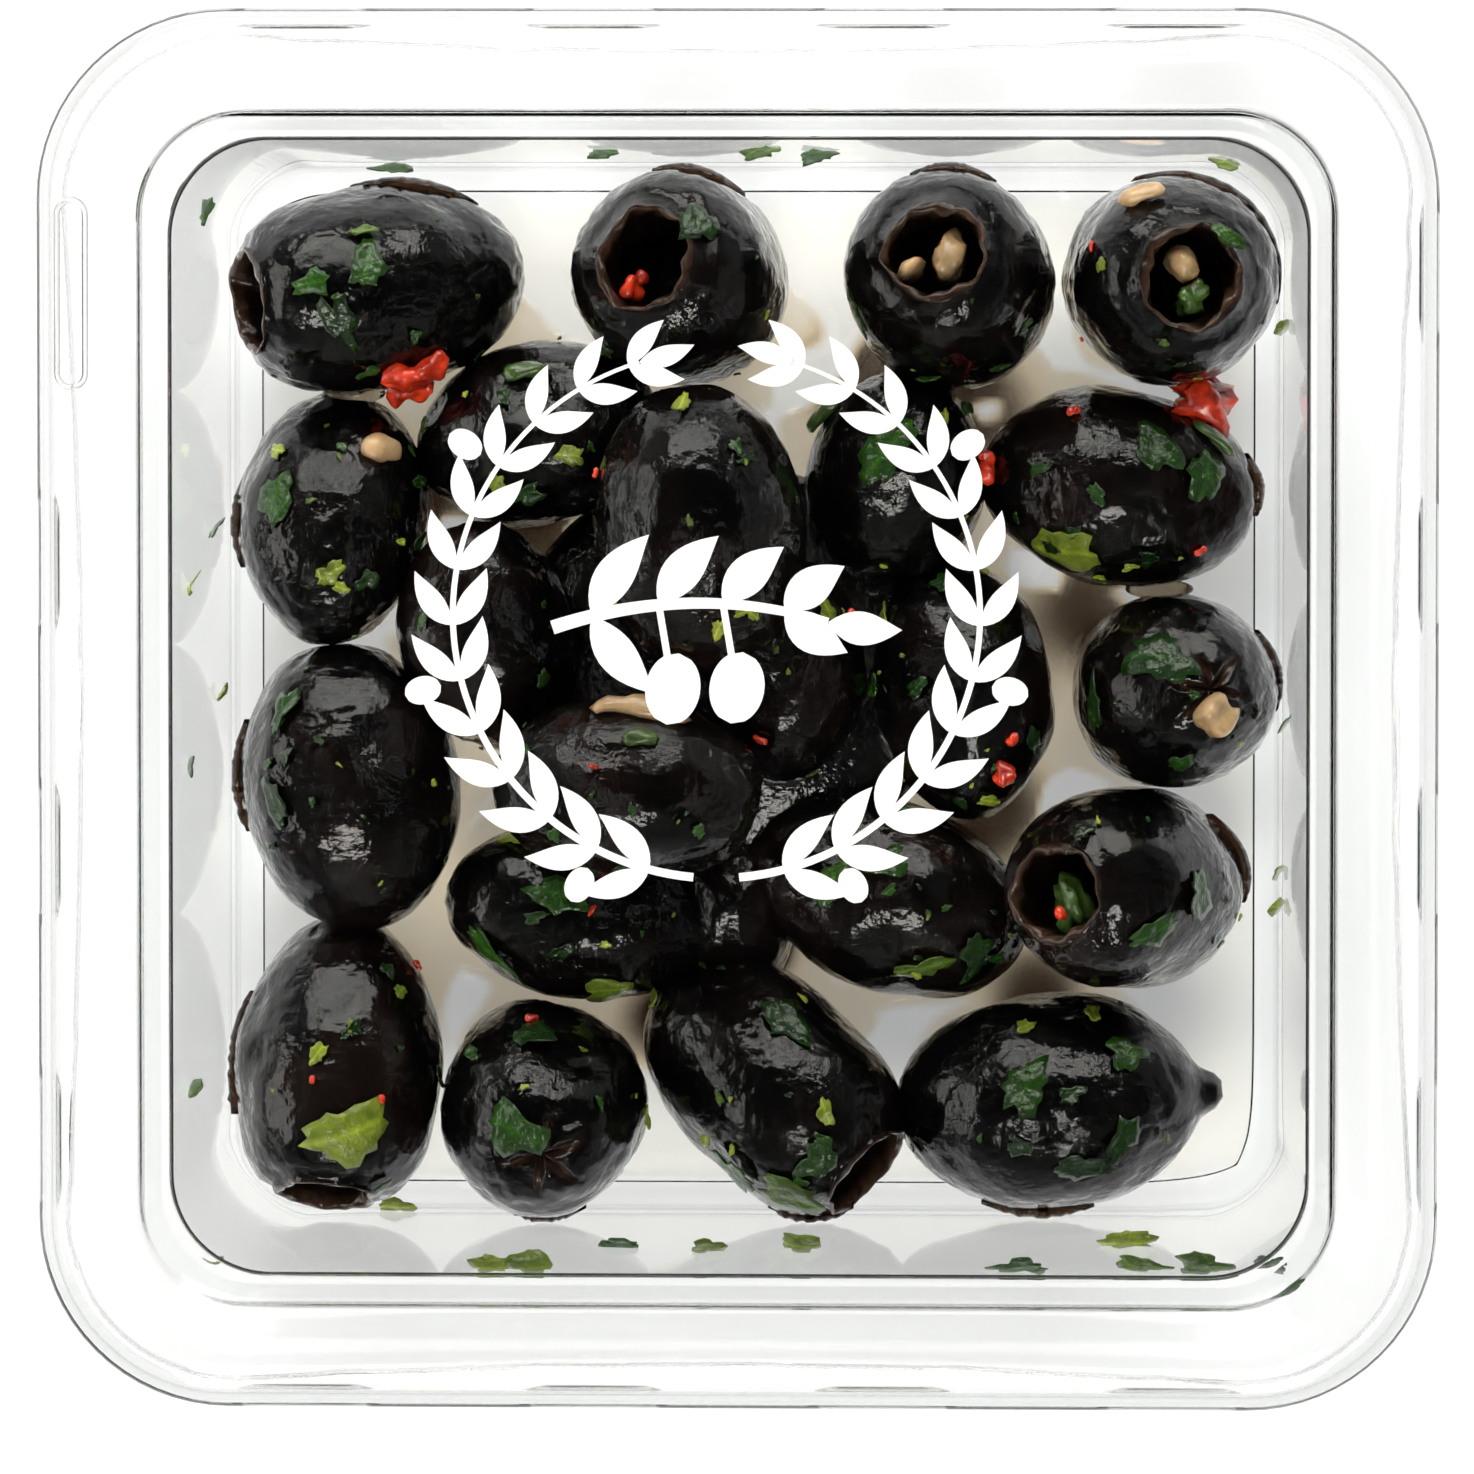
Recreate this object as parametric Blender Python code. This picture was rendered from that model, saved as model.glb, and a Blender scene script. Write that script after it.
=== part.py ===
"""Square clear tub of marinated black olives, shut with a clear press-fit lid.

The origin is at the centre of the tub's base and +Z is up. Three closed solids
are made: the tub, the lid, and the heap of olives with its herbs, chilli and garlic.
Sizes are in millimetres in the constants and in metres in the meshes.
"""

import math

import bmesh
import bpy
import numpy as np
from mathutils import Matrix, Vector

MM = 0.001

# Columns of a rounded square: steps round each corner and along each side
CORNER_STEPS = 6
SIDE_STEPS = 4

# Tub
BASE_HALF = 42.2
BASE_CORNER = 4.0
FLOOR_THICK = 0.9
FLOOR_FILLET = 3.2
FILLET_STEPS = 3
WALL_FOOT_CORNER = 6.0
WALL_TOP_HALF = 48.8
WALL_TOP_CORNER = 8.5
WALL_TOP_Z = 39.8
SHEET = 0.8
LEDGE_Z = 40.4
LEDGE_HALF = 51.9
FLANGE_Z = 44.2
FLANGE_HALF = 58.2
FLANGE_CORNER = 15.2
FLANGE_LIP_Z = 41.2
FLANGE_BOW = 1.4

# Lid
LID_HALF = 60.0
# Half width, corner radius and height of each ring: on top from the panel's edge, up
# the step, over the crown and down the skirt, then underneath from the skirt back in
LID_TOP = [
    (48.5, 7.4, 41.6), (49.5, 8.0, 41.7), (50.1, 8.2, 42.8), (50.9, 8.3, 45.0), (51.9, 9.2, 45.6),
    (55.4, 12.4, 46.0), (57.0, 13.7, 45.9), (58.6, 15.1, 45.4), (59.6, 15.9, 44.4), (60.0, 16.3, 43.0),
    (60.0, 16.3, 37.0),
]
LID_UNDER = [
    (59.2, 15.5, 37.0), (59.2, 15.5, 43.4), (58.0, 14.5, 44.7), (55.4, 12.4, 45.2), (52.3, 9.7, 44.8),
    (51.5, 9.1, 44.2), (50.3, 8.8, 41.2), (48.7, 8.0, 40.8),
]
LUG_LENGTH = 11.8
LUG_REACH = 1.2
LUG_LOW_Z = 38.4
LUG_HIGH_Z = 40.4
LUG_SPACING = 24.9
LUGS_PER_SIDE = 4
LUG_BITE = 0.35
LUG_ARC_STEPS = 5
BARE_SIDE = 2
BARE_PLACE = 0

# Heap
CLEARANCE = 0.3
REST_Z = FLOOR_THICK + CLEARANCE
OLIVE_AROUND = 12
OLIVE_ALONG = 8
PIT_RADIUS = 4.0
PIT_RIM = 0.9
PIT_DEPTH = 9.0
PIT_TAPER = 0.8
PIT_FULLNESS = 3.2
PIT_BEVEL = 0.1
PROFILE_GAP = 0.5
STAR_RADIUS = 1.8
STAR_DEPTH = 1.6
NIPPLE = [(-0.5, 2.2), (1.4, 1.3), (2.0, 0.0)]
NECK_REACH = 1.7
NECK_RADIUS = 1.4
NECK_BITE = 1.2
CORE_CENTRE = (-2.5, 1.5, 8.0)
CORE_HALF = (20.5, 19.5, 6.4)
CORE_SEGMENTS = 16
POINTS_PER_OLIVE = 500
SPOT_STEP = 0.5
SPOT_HALVINGS = 8

# Each olive: centre x, centre y, length, width, heading of its open end from +X,
# lift of that end above level, height of its centre or None if it lies on the floor,
# and the form of that end
OLIVES = {
    "olive_a": (-32.8, 35.4, 26.8, 18.2, 185.0, 22.0, None, "pit"),
    "olive_b": (-6.0, 36.0, 25.0, 18.8, 143.0, 71.0, None, "pit"),
    "olive_c": (17.5, 35.7, 25.0, 18.8, 109.0, 73.0, None, "pit"),
    "olive_d": (36.2, 36.2, 25.0, 18.4, 13.0, 77.0, None, "pit"),
    "olive_e": (-36.6, 15.4, 23.5, 17.4, 84.0, -22.0, None, "plain"),
    "olive_f": (-18.8, 22.6, 22.5, 16.4, 12.0, 8.0, None, "plain"),
    "olive_g": (-4.2, 14.7, 26.5, 18.8, 95.0, 5.0, 22.0, "plain"),
    "olive_h": (12.2, 18.4, 21.5, 16.4, 70.0, 30.0, None, "plain"),
    "olive_i": (32.0, 18.2, 24.5, 18.0, -8.0, 0.0, None, "plain"),
    "olive_j": (-35.2, -8.2, 26.0, 20.0, -82.0, 0.0, None, "plain"),
    "olive_k": (-23.2, 5.0, 21.5, 15.8, 100.0, 15.0, 13.0, "plain"),
    "olive_l": (-10.3, -7.8, 24.0, 17.2, -4.0, 3.0, 22.2, "plain"),
    "olive_m": (3.0, 2.0, 20.5, 14.6, 86.0, 8.0, 12.5, "plain"),
    "olive_n": (18.2, 0.5, 24.0, 16.4, -80.0, 8.0, None, "plain"),
    "olive_o": (36.6, 0.4, 24.0, 18.0, 9.0, 71.0, None, "star"),
    "olive_p": (-14.9, -19.3, 24.5, 16.0, -6.0, 0.0, None, "plain"),
    "olive_q": (11.8, -17.6, 26.5, 17.2, -22.0, 0.0, None, "plain"),
    "olive_r": (32.8, -17.0, 26.0, 18.2, 179.0, 58.0, None, "pit"),
    "olive_s": (-36.4, -32.7, 26.6, 18.4, -95.0, 18.0, None, "pit"),
    "olive_t": (-18.5, -36.2, 23.0, 18.8, -81.0, 70.0, None, "star"),
    "olive_u": (1.6, -33.9, 27.6, 18.2, -42.0, 20.0, None, "pit"),
    "olive_v": (26.0, -35.8, 27.1, 19.4, 3.0, 0.0, None, "nipple"),
    "olive_w": (-1.8, -20.0, 16.0, 12.6, 96.0, 24.0, None, "plain"),
}

# Each leaf: x and y of the spot it lies on, seen from above, length and turn
LEAVES = [
    (-33.6, 40.4, 2.6, 20), (-33.4, 37.6, 4.4, 75), (-37.9, 36.1, 3.0, 10), (-35.6, 32.8, 5.4, -60),
    (-41.3, 17.3, 4.6, 80), (-36.4, 10.8, 2.8, 30), (-40.5, -1.2, 4.4, 80), (-41.3, -9.4, 4.4, -60),
    (-35.2, -38.2, 7.4, 20), (-20.2, -37.6, 6.4, -25), (-18.8, -29.4, 4.0, 30), (-22.9, -22.6, 5.4, -45),
    (-20.0, -12.6, 4.8, -50), (-10.2, -14.6, 3.6, 40), (-12.7, -25.8, 4.2, 0), (-16.6, -17.4, 5.6, -15),
    (36.0, 3.6, 6.2, -15), (30.0, -0.6, 5.2, 70), (27.3, 12.8, 6.6, 12), (35.4, 21.8, 5.0, -40),
    (39.6, 19.4, 4.4, 70), (12.0, 21.4, 6.4, 50), (24.4, -33.8, 5.0, 70), (29.2, -40.8, 4.8, 8),
    (32.8, -38.2, 4.0, 60), (32.8, -31.2, 3.6, -20), (3.6, -43.6, 6.0, -25), (-1.4, -41.4, 4.6, -40),
    (6.2, -40.2, 4.2, 70), (3.4, -28.4, 4.8, -35), (15.2, -23.6, 5.0, 10), (19.8, -22.6, 3.8, 70),
    (7.0, -16.2, 4.2, 50), (12.2, -14.6, 3.4, 0), (35.4, -20.2, 5.0, 15), (39.0, -17.4, 4.6, 85),
    (-4.2, 41.2, 3.8, -30), (9.6, 33.6, 4.2, 75), (41.6, 40.2, 3.2, -30), (-19.6, 17.6, 3.0, 30),
]
LEAF_THICK = 0.5
LEAF_SIDES = 6
LEAF_ASPECT = 0.55
LEAF_BEND = 0.04
LEAF_RAGGED = 0.08

# Each stem: x, y, length, width and turn
STEMS = [
    (-19.8, 28.0, 4.2, 1.5, 2), (-8.9, -3.2, 3.4, 1.4, 0),
    (6.4, 24.2, 4.6, 1.4, -10), (40.2, 22.6, 5.0, 1.0, -32),
]

# Each chilli piece and each garlic piece: x, y, length, width and turn
CHILLIES = [
    (-29.6, 27.6, 5.6, 3.2, 25), (39.8, 24.6, 4.6, 4.0, 40),
    (22.0, -6.8, 2.2, 1.8, 60), (20.8, 19.8, 3.2, 1.6, -60),
]
GARLICS = [
    (34.4, 43.4, 4.4, 1.8, 8), (-32.4, 21.4, 3.8, 2.4, 10),
    (40.4, -1.2, 3.8, 3.2, -40), (-9.0, -0.8, 9.0, 2.0, -8),
]

# Each garlic piece that lies in an open end: olive, length, width, height and turn
PIT_PIECES = [("olive_c", 4.6, 3.4, 6.0, 50), ("olive_d", 3.6, 3.0, 6.0, 20)]

# Sections of a rod: its place along the rod and its share of the full width
ROD_SECTIONS = ((-0.5, 0.7), (0.0, 1.0), (0.5, 0.75))
ROD_SIDES = {"stem": 5, "chilli": 6, "garlic": 6, "neck": 6}

CLEAR = (0.90, 0.93, 0.92, 1.0)
OLIVE_SKIN = (0.012, 0.010, 0.010, 1.0)


def rounded_square(half, corner, z, bow=0.0):
    """One ring of points, anticlockwise from above. Each corner is an arc, and each
    side's inner points draw in by bow times one less the squared share of the way out."""
    points = []
    reach = half - corner
    for quarter in range(4):
        start = quarter * math.pi / 2
        turn = Matrix.Rotation(start, 3, "Z")
        for step in range(CORNER_STEPS + 1):
            angle = step / CORNER_STEPS * math.pi / 2
            spot = Vector((reach + corner * math.cos(angle), reach + corner * math.sin(angle), z))
            points.append(turn @ spot)
        for step in range(1, SIDE_STEPS):
            share = 1 - 2 * step / SIDE_STEPS
            points.append(turn @ Vector((share * reach, half - bow * (1 - share * share), z)))
    return points


def shell(name, rings):
    """A closed body through rings of equal count, with a flat face on the first and the last."""
    mesh = bmesh.new()
    loops = [[mesh.verts.new(point * MM) for point in ring] for ring in rings]
    count = len(loops[0])
    for low, high in zip(loops, loops[1:]):
        for i in range(count):
            j = (i + 1) % count
            mesh.faces.new((low[i], low[j], high[j], high[i]))
    mesh.faces.new(reversed(loops[0]))
    mesh.faces.new(loops[-1])
    return finish(name, mesh)


def finish(name, mesh):
    """The bmesh as a named object with smooth shading broken at sharp edges."""
    data = bpy.data.meshes.new(name)
    mesh.to_mesh(data)
    mesh.free()
    data.shade_smooth()
    data.set_sharp_from_angle(angle=math.radians(40))
    made = bpy.data.objects.new(name, data)
    bpy.context.scene.collection.objects.link(made)
    return made


def material(name, colour, roughness, transmission=0.0):
    made = bpy.data.materials.new(name)
    made.use_nodes = True
    shader = made.node_tree.nodes["Principled BSDF"]
    shader.inputs["Base Color"].default_value = colour
    shader.inputs["Roughness"].default_value = roughness
    shader.inputs["Metallic"].default_value = 0.0
    shader.inputs["Transmission Weight"].default_value = transmission
    return made


def fillet(half, height, radius):
    """Points of a quarter turn from the flat of a floor up to the foot of a wall."""
    for step in range(FILLET_STEPS + 1):
        angle = step / FILLET_STEPS * math.pi / 2
        rise = 1 - math.cos(angle)
        out = math.sin(angle)
        yield half + radius * out, height + radius * rise, step / FILLET_STEPS


def build_tub():
    """Outside of the base and wall, out under the flange, over it, and down the inside."""
    foot_corner = WALL_FOOT_CORNER - BASE_CORNER
    rings = []
    for half, z, share in fillet(BASE_HALF, 0.0, FLOOR_FILLET + FLOOR_THICK):
        rings.append(rounded_square(half, BASE_CORNER + foot_corner * share, z))
    ledge_under = LEDGE_Z - SHEET
    ledge_corner = WALL_TOP_CORNER + LEDGE_HALF - WALL_TOP_HALF
    flange_under = FLANGE_Z - SHEET
    flange_in = LEDGE_HALF + 2 * SHEET
    rings += [
        rounded_square(WALL_TOP_HALF + SHEET, WALL_TOP_CORNER + SHEET, ledge_under - SHEET),
        rounded_square(WALL_TOP_HALF + 2 * SHEET, WALL_TOP_CORNER + 2 * SHEET, ledge_under),
        rounded_square(LEDGE_HALF + SHEET, ledge_corner, ledge_under),
        rounded_square(flange_in, ledge_corner, flange_under),
        rounded_square(FLANGE_HALF - 1.5 * SHEET, FLANGE_CORNER - SHEET, flange_under, FLANGE_BOW),
        rounded_square(FLANGE_HALF - SHEET, FLANGE_CORNER - SHEET, FLANGE_LIP_Z, FLANGE_BOW),
        rounded_square(FLANGE_HALF, FLANGE_CORNER, FLANGE_LIP_Z, FLANGE_BOW),
        rounded_square(FLANGE_HALF, FLANGE_CORNER, flange_under, FLANGE_BOW),
        rounded_square(FLANGE_HALF - SHEET, FLANGE_CORNER - SHEET, FLANGE_Z, FLANGE_BOW),
        rounded_square(flange_in - SHEET / 2, ledge_corner, FLANGE_Z),
        rounded_square(LEDGE_HALF + SHEET / 2, ledge_corner, FLANGE_Z - SHEET),
        rounded_square(LEDGE_HALF, ledge_corner - SHEET, LEDGE_Z),
        rounded_square(WALL_TOP_HALF + SHEET / 2, WALL_TOP_CORNER + SHEET / 2, LEDGE_Z),
        rounded_square(WALL_TOP_HALF, WALL_TOP_CORNER, WALL_TOP_Z),
    ]
    inside = list(fillet(BASE_HALF, FLOOR_THICK, FLOOR_FILLET))
    for half, z, share in reversed(inside):
        rings.append(rounded_square(half, BASE_CORNER + foot_corner * share, z))
    return shell("tub", rings)


def lug(side, place):
    """A catch lug inside the skirt: a flat lens, its chord sunk into the skirt's wall."""
    chord = LID_HALF - SHEET + LUG_BITE
    depth = LUG_REACH + LUG_BITE
    outline = [Vector((chord, place - LUG_LENGTH / 2, 0)), Vector((chord, place + LUG_LENGTH / 2, 0))]
    for step in range(1, LUG_ARC_STEPS):
        share = 2 * step / LUG_ARC_STEPS - 1
        outline.append(Vector((chord - depth * (1 - share * share), place - share * LUG_LENGTH / 2, 0)))
    turn = Matrix.Rotation(side * math.pi / 2, 3, "Z")
    mesh = bmesh.new()
    low = [mesh.verts.new(turn @ (point + Vector((0, 0, LUG_LOW_Z))) * MM) for point in outline]
    base = mesh.faces.new(reversed(low))
    grown = bmesh.ops.extrude_face_region(mesh, geom=[base])
    lifted = [item for item in grown["geom"] if isinstance(item, bmesh.types.BMVert)]
    bmesh.ops.translate(mesh, verts=lifted, vec=Vector((0, 0, (LUG_HIGH_Z - LUG_LOW_Z) * MM)))
    bmesh.ops.recalc_face_normals(mesh, faces=mesh.faces)
    return finish(f"lug_{side}_{place:.0f}", mesh)


def build_lid():
    """The lid's shell with its catch lugs joined on. One place on the left side has none."""
    rings = [rounded_square(*row) for row in reversed(LID_TOP + LID_UNDER)]
    lid = shell("lid", rings)
    lugs = []
    for side in range(4):
        for index in range(LUGS_PER_SIDE):
            if side == BARE_SIDE and index == BARE_PLACE:
                continue
            place = (index - (LUGS_PER_SIDE - 1) / 2) * LUG_SPACING
            lugs.append(lug(side, place))
    return fuse(lid, lugs, "EXACT")


def fuse(base, others, solver):
    """One body from base and the others, by a Boolean union on a collection."""
    group = bpy.data.collections.new("to_join")
    bpy.context.scene.collection.children.link(group)
    for item in others:
        bpy.context.scene.collection.objects.unlink(item)
        group.objects.link(item)
    union = base.modifiers.new("join", "BOOLEAN")
    union.operation = "UNION"
    union.operand_type = "COLLECTION"
    union.collection = group
    union.solver = solver
    graph = bpy.context.evaluated_depsgraph_get()
    joined = bpy.data.meshes.new_from_object(base.evaluated_get(graph))
    base.modifiers.clear()
    old = base.data
    base.data = joined
    bpy.data.meshes.remove(old)
    for item in others:
        bpy.data.meshes.remove(item.data)
    bpy.data.collections.remove(group)
    return base


def axes_of(heading, lift):
    """Rotation whose X runs to the open end and whose Y is level."""
    return Matrix.Rotation(math.radians(heading), 3, "Z") @ Matrix.Rotation(-math.radians(lift), 3, "Y")


def place_of(name):
    """Centre, axes and half sizes of an olive. One on the floor rests its lowest point at REST_Z."""
    x, y, length, width, heading, lift, z, _ = OLIVES[name]
    turn = axes_of(heading, lift)
    half = Vector((length, width, width)) / 2
    if z is None:
        z = REST_Z + math.sqrt(sum((turn[2][i] * half[i]) ** 2 for i in range(3)))
    return Vector((x, y, z)), turn, half


def olive_profile(length, width, end):
    """(along, out) pairs from the closed tip to the other end: an ellipse that ends in a
    pit hole, a shallow star-cut dimple, a nipple or a plain tip, and is blunter at a pit hole."""
    a = length / 2
    b = width / 2
    pairs = [(-a, 0.0)]
    fullness = PIT_FULLNESS if end == "pit" else 2.0
    for step in range(1, OLIVE_ALONG):
        along = -a * math.cos(step / OLIVE_ALONG * math.pi)
        power = 2.0 if along < 0 else fullness
        pairs.append((along, b * math.sqrt(1 - abs(along / a) ** power)))
    rim = PIT_RADIUS + PIT_RIM
    if end == "pit":
        face = a * (1 - (rim / b) ** 2) ** (1 / fullness)
        deep = face - PIT_DEPTH
        pairs = [pair for pair in pairs if pair[0] < face - PROFILE_GAP]
        pairs += [(face, rim), (face + PIT_BEVEL, PIT_RADIUS), (deep, PIT_TAPER * PIT_RADIUS), (deep, 0.0)]
    elif end == "star":
        pairs += [(a - PROFILE_GAP, STAR_RADIUS), (a - STAR_DEPTH, 0.0)]
    elif end == "nipple":
        pairs += [(a + along, out) for along, out in NIPPLE]
    else:
        pairs.append((a, 0.0))
    return pairs


def build_olive(name):
    """The profile turned about the olive's own X axis."""
    _, _, length, width, _, _, _, end = OLIVES[name]
    centre, turn, _ = place_of(name)
    mesh = bmesh.new()
    loops = []
    for along, out in olive_profile(length, width, end):
        count = 1 if out == 0.0 else OLIVE_AROUND
        loop = []
        for i in range(count):
            angle = 2 * math.pi * i / OLIVE_AROUND
            spot = Vector((along, out * math.cos(angle), out * math.sin(angle)))
            loop.append(mesh.verts.new((centre + turn @ spot) * MM))
        loops.append(loop)
    for low, high in zip(loops, loops[1:]):
        for i in range(OLIVE_AROUND):
            j = (i + 1) % OLIVE_AROUND
            corners = [low[i % len(low)], low[j % len(low)], high[j % len(high)], high[i % len(high)]]
            mesh.faces.new(dict.fromkeys(corners))
    bmesh.ops.recalc_face_normals(mesh, faces=mesh.faces)
    return finish(name, mesh)


def fullness(point, half, end):
    """1 on an olive's surface and less inside, for a point in the olive's own axes."""
    power = PIT_FULLNESS if end == "pit" and point.x > 0 else 2.0
    return abs(point.x / half.x) ** power + (point.y**2 + point.z**2) / half.y**2


def outward(point, half, end):
    """The surface's normal at a point, in the olive's own axes."""
    power = PIT_FULLNESS if end == "pit" and point.x > 0 else 2.0
    share = point.x / half.x
    along = math.copysign(power * abs(share) ** (power - 1) / half.x, share)
    return Vector((along, 2 * point.y / half.y**2, 2 * point.z / half.y**2)).normalized()


def top_of_olive(name, x, y):
    """Height of an olive above x, y, or None beside it: down from above to the first level
    that is inside, then halving the step."""
    centre, turn, half = place_of(name)
    end = OLIVES[name][-1]
    level = centre.z + half.x
    while level > 0 and fullness(turn.transposed() @ (Vector((x, y, level)) - centre), half, end) > 1:
        level -= SPOT_STEP
    if level <= 0:
        return None
    step = SPOT_STEP
    for _ in range(SPOT_HALVINGS):
        step /= 2
        inside = fullness(turn.transposed() @ (Vector((x, y, level + step)) - centre), half, end) < 1
        level += step if inside else 0
    return level


def top_spot(x, y):
    """The highest point of any olive above x, y, with its outward normal."""
    tops = {name: top_of_olive(name, x, y) for name in OLIVES}
    name = max((key for key in tops if tops[key] is not None), key=tops.get)
    centre, turn, half = place_of(name)
    spot = Vector((x, y, tops[name]))
    return spot, turn @ outward(turn.transposed() @ (spot - centre), half, OLIVES[name][-1])


def seat(x, y, turn):
    """A frame on the heap above x, y: Z is the surface's normal and X is turned in its plane."""
    spot, normal = top_spot(x, y)
    along = Vector((math.cos(math.radians(turn)), math.sin(math.radians(turn)), 0))
    along = (along - normal * along.dot(normal)).normalized()
    return spot, Matrix((along, normal.cross(along), normal)).transposed()


def leaf(index, x, y, length, turn):
    """A thin leaf scrap that bends over the olive: two fans of triangles and a rim."""
    spot, axes = seat(x, y, turn)
    outline = []
    for i in range(LEAF_SIDES):
        angle = 2 * math.pi * i / LEAF_SIDES
        reach = length * (0.5 + LEAF_RAGGED * math.sin(2.3 * i + index))
        outline.append((reach * math.cos(angle), LEAF_ASPECT * reach * math.sin(angle)))
    mesh = bmesh.new()
    faces = []
    for level in (-LEAF_THICK, LEAF_THICK):
        middle = mesh.verts.new((spot + axes @ Vector((0, 0, level))) * MM)
        rim = []
        for u, v in outline:
            drop = LEAF_BEND * (u * u + v * v)
            rim.append(mesh.verts.new((spot + axes @ Vector((u, v, level - drop))) * MM))
        faces.append(rim)
        for i in range(LEAF_SIDES):
            mesh.faces.new((middle, rim[i], rim[(i + 1) % LEAF_SIDES]))
    low, high = faces
    for i in range(LEAF_SIDES):
        j = (i + 1) % LEAF_SIDES
        mesh.faces.new((low[i], low[j], high[j], high[i]))
    bmesh.ops.recalc_face_normals(mesh, faces=mesh.faces)
    return finish(f"leaf_{index}", mesh)


def lump(name, spot, axes, size, sides):
    """A short rod with a flat top and tapered ends, half sunk into what it lies on."""
    length, width, height = size
    mesh = bmesh.new()
    loops = []
    for share, narrow in ROD_SECTIONS:
        loop = []
        for i in range(sides):
            angle = 2 * math.pi * (i + 0.5) / sides
            side = Vector((0, width / 2 * math.cos(angle), height / 2 * math.sin(angle))) * narrow
            loop.append(mesh.verts.new((spot + axes @ (side + Vector((share * length, 0, 0)))) * MM))
        loops.append(loop)
    for low, high in zip(loops, loops[1:]):
        for i in range(sides):
            j = (i + 1) % sides
            mesh.faces.new((low[i], low[j], high[j], high[i]))
    mesh.faces.new(reversed(loops[0]))
    mesh.faces.new(loops[-1])
    bmesh.ops.recalc_face_normals(mesh, faces=mesh.faces)
    return finish(name, mesh)


def build_toppings():
    """Leaf scraps, stems, chilli and garlic on the olives, and garlic in two pit holes."""
    made = []
    for index, (x, y, length, turn) in enumerate(LEAVES):
        made.append(leaf(index, x, y, length, turn))
    for kind, rows in (("stem", STEMS), ("chilli", CHILLIES), ("garlic", GARLICS)):
        for index, (x, y, length, width, turn) in enumerate(rows):
            spot, axes = seat(x, y, turn)
            made.append(lump(f"{kind}_{index}", spot, axes, (length, width, width), ROD_SIDES[kind]))
    for name, length, width, height, turn in PIT_PIECES:
        centre, axes, half = place_of(name)
        spot = centre + axes @ Vector((half.x - PIT_TAPER * PIT_DEPTH, 0, 0))
        twist = axes @ Matrix.Rotation(math.radians(turn), 3, "X")
        made.append(lump(f"{name}_garlic", spot, twist, (height, length, width), ROD_SIDES["garlic"]))
    return made


def olive_points(name):
    """Points spread evenly over an olive by the golden angle, as an array."""
    centre, turn, half = place_of(name)
    step = np.arange(POINTS_PER_OLIVE) + 0.5
    tip = np.arccos(1 - 2 * step / POINTS_PER_OLIVE)
    circling = math.pi * (1 + math.sqrt(5)) * step
    ball = np.stack([np.cos(tip), np.sin(tip) * np.cos(circling), np.sin(tip) * np.sin(circling)], axis=1)
    return np.array(centre) + (ball * np.array(half)) @ np.array(turn).T


def build_necks():
    """Oil bridges: a short rod wherever two olives come nearly together."""
    cloud = {name: olive_points(name) for name in OLIVES}
    names = list(OLIVES)
    made = []
    for i, first in enumerate(names):
        for second in names[i + 1 :]:
            gaps = np.linalg.norm(cloud[first][:, None] - cloud[second][None], axis=2)
            near = np.unravel_index(np.argmin(gaps), gaps.shape)
            if gaps[near] > NECK_REACH:
                continue
            start = Vector(cloud[first][near[0]])
            end = Vector(cloud[second][near[1]])
            way = (place_of(second)[0] - place_of(first)[0]).normalized()
            middle = (start + end) / 2
            axes = way.to_track_quat("X", "Z").to_matrix()
            size = (NECK_REACH + 2 * NECK_BITE, 2 * NECK_RADIUS, 2 * NECK_RADIUS)
            made.append(lump(f"neck_{first}_{second}", middle, axes, size, ROD_SIDES["neck"]))
    return made


def build_core():
    """A smooth mound under the middle of the heap, hidden by the olives round and over it."""
    mesh = bmesh.new()
    bmesh.ops.create_uvsphere(mesh, u_segments=CORE_SEGMENTS, v_segments=CORE_SEGMENTS // 2, radius=1.0)
    bmesh.ops.scale(mesh, verts=mesh.verts, vec=Vector(CORE_HALF) * MM)
    bmesh.ops.translate(mesh, verts=mesh.verts, vec=Vector(CORE_CENTRE) * MM)
    return finish("olives", mesh)


def keep_outer_body(made):
    """Only the body with the widest box stays, so that sealed hollows fill and loose scraps go."""
    mesh = bmesh.new()
    mesh.from_mesh(made.data)
    left = set(mesh.verts)
    bodies = []
    while left:
        front = [left.pop()]
        body = list(front)
        while front:
            vert = front.pop()
            for edge in vert.link_edges:
                other = edge.other_vert(vert)
                if other in left:
                    left.remove(other)
                    front.append(other)
                    body.append(other)
        bodies.append(body)
    bodies.sort(key=lambda body: max(v.co.x for v in body) - min(v.co.x for v in body))
    for body in bodies[:-1]:
        bmesh.ops.delete(mesh, geom=body, context="VERTS")
    bmesh.ops.triangulate(mesh, faces=mesh.faces)
    mesh.to_mesh(made.data)
    mesh.free()


def build_heap():
    """The core with every olive, oil bridge and topping joined on."""
    core = build_core()
    pieces = [build_olive(name) for name in OLIVES] + build_necks() + build_toppings()
    heap = fuse(core, pieces, "EXACT")
    keep_outer_body(heap)
    return heap


def main():
    for old in list(bpy.data.objects):
        bpy.data.objects.remove(old)
    clear = material("clear_plastic", CLEAR, 0.05, transmission=1.0)
    skin = material("olive_skin", OLIVE_SKIN, 0.2)
    for made, finish_of in ((build_tub(), clear), (build_lid(), clear), (build_heap(), skin)):
        made.data.materials.clear()
        made.data.materials.append(finish_of)


main()
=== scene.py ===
"""Looks for a square clear tub of marinated black olives, shut with a clear lid.

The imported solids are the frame. Each new piece is worked out with numpy in millimetres,
in the part's own frame (origin at the centre of the tub's base, +Z up), and put into a
mesh in metres. It runs as a script and is laid out as an add-on.
"""

import math

import bmesh
import bpy
import numpy as np
from bpy.props import FloatProperty, FloatVectorProperty, IntProperty, PointerProperty
from mathutils import Matrix, Vector


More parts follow.
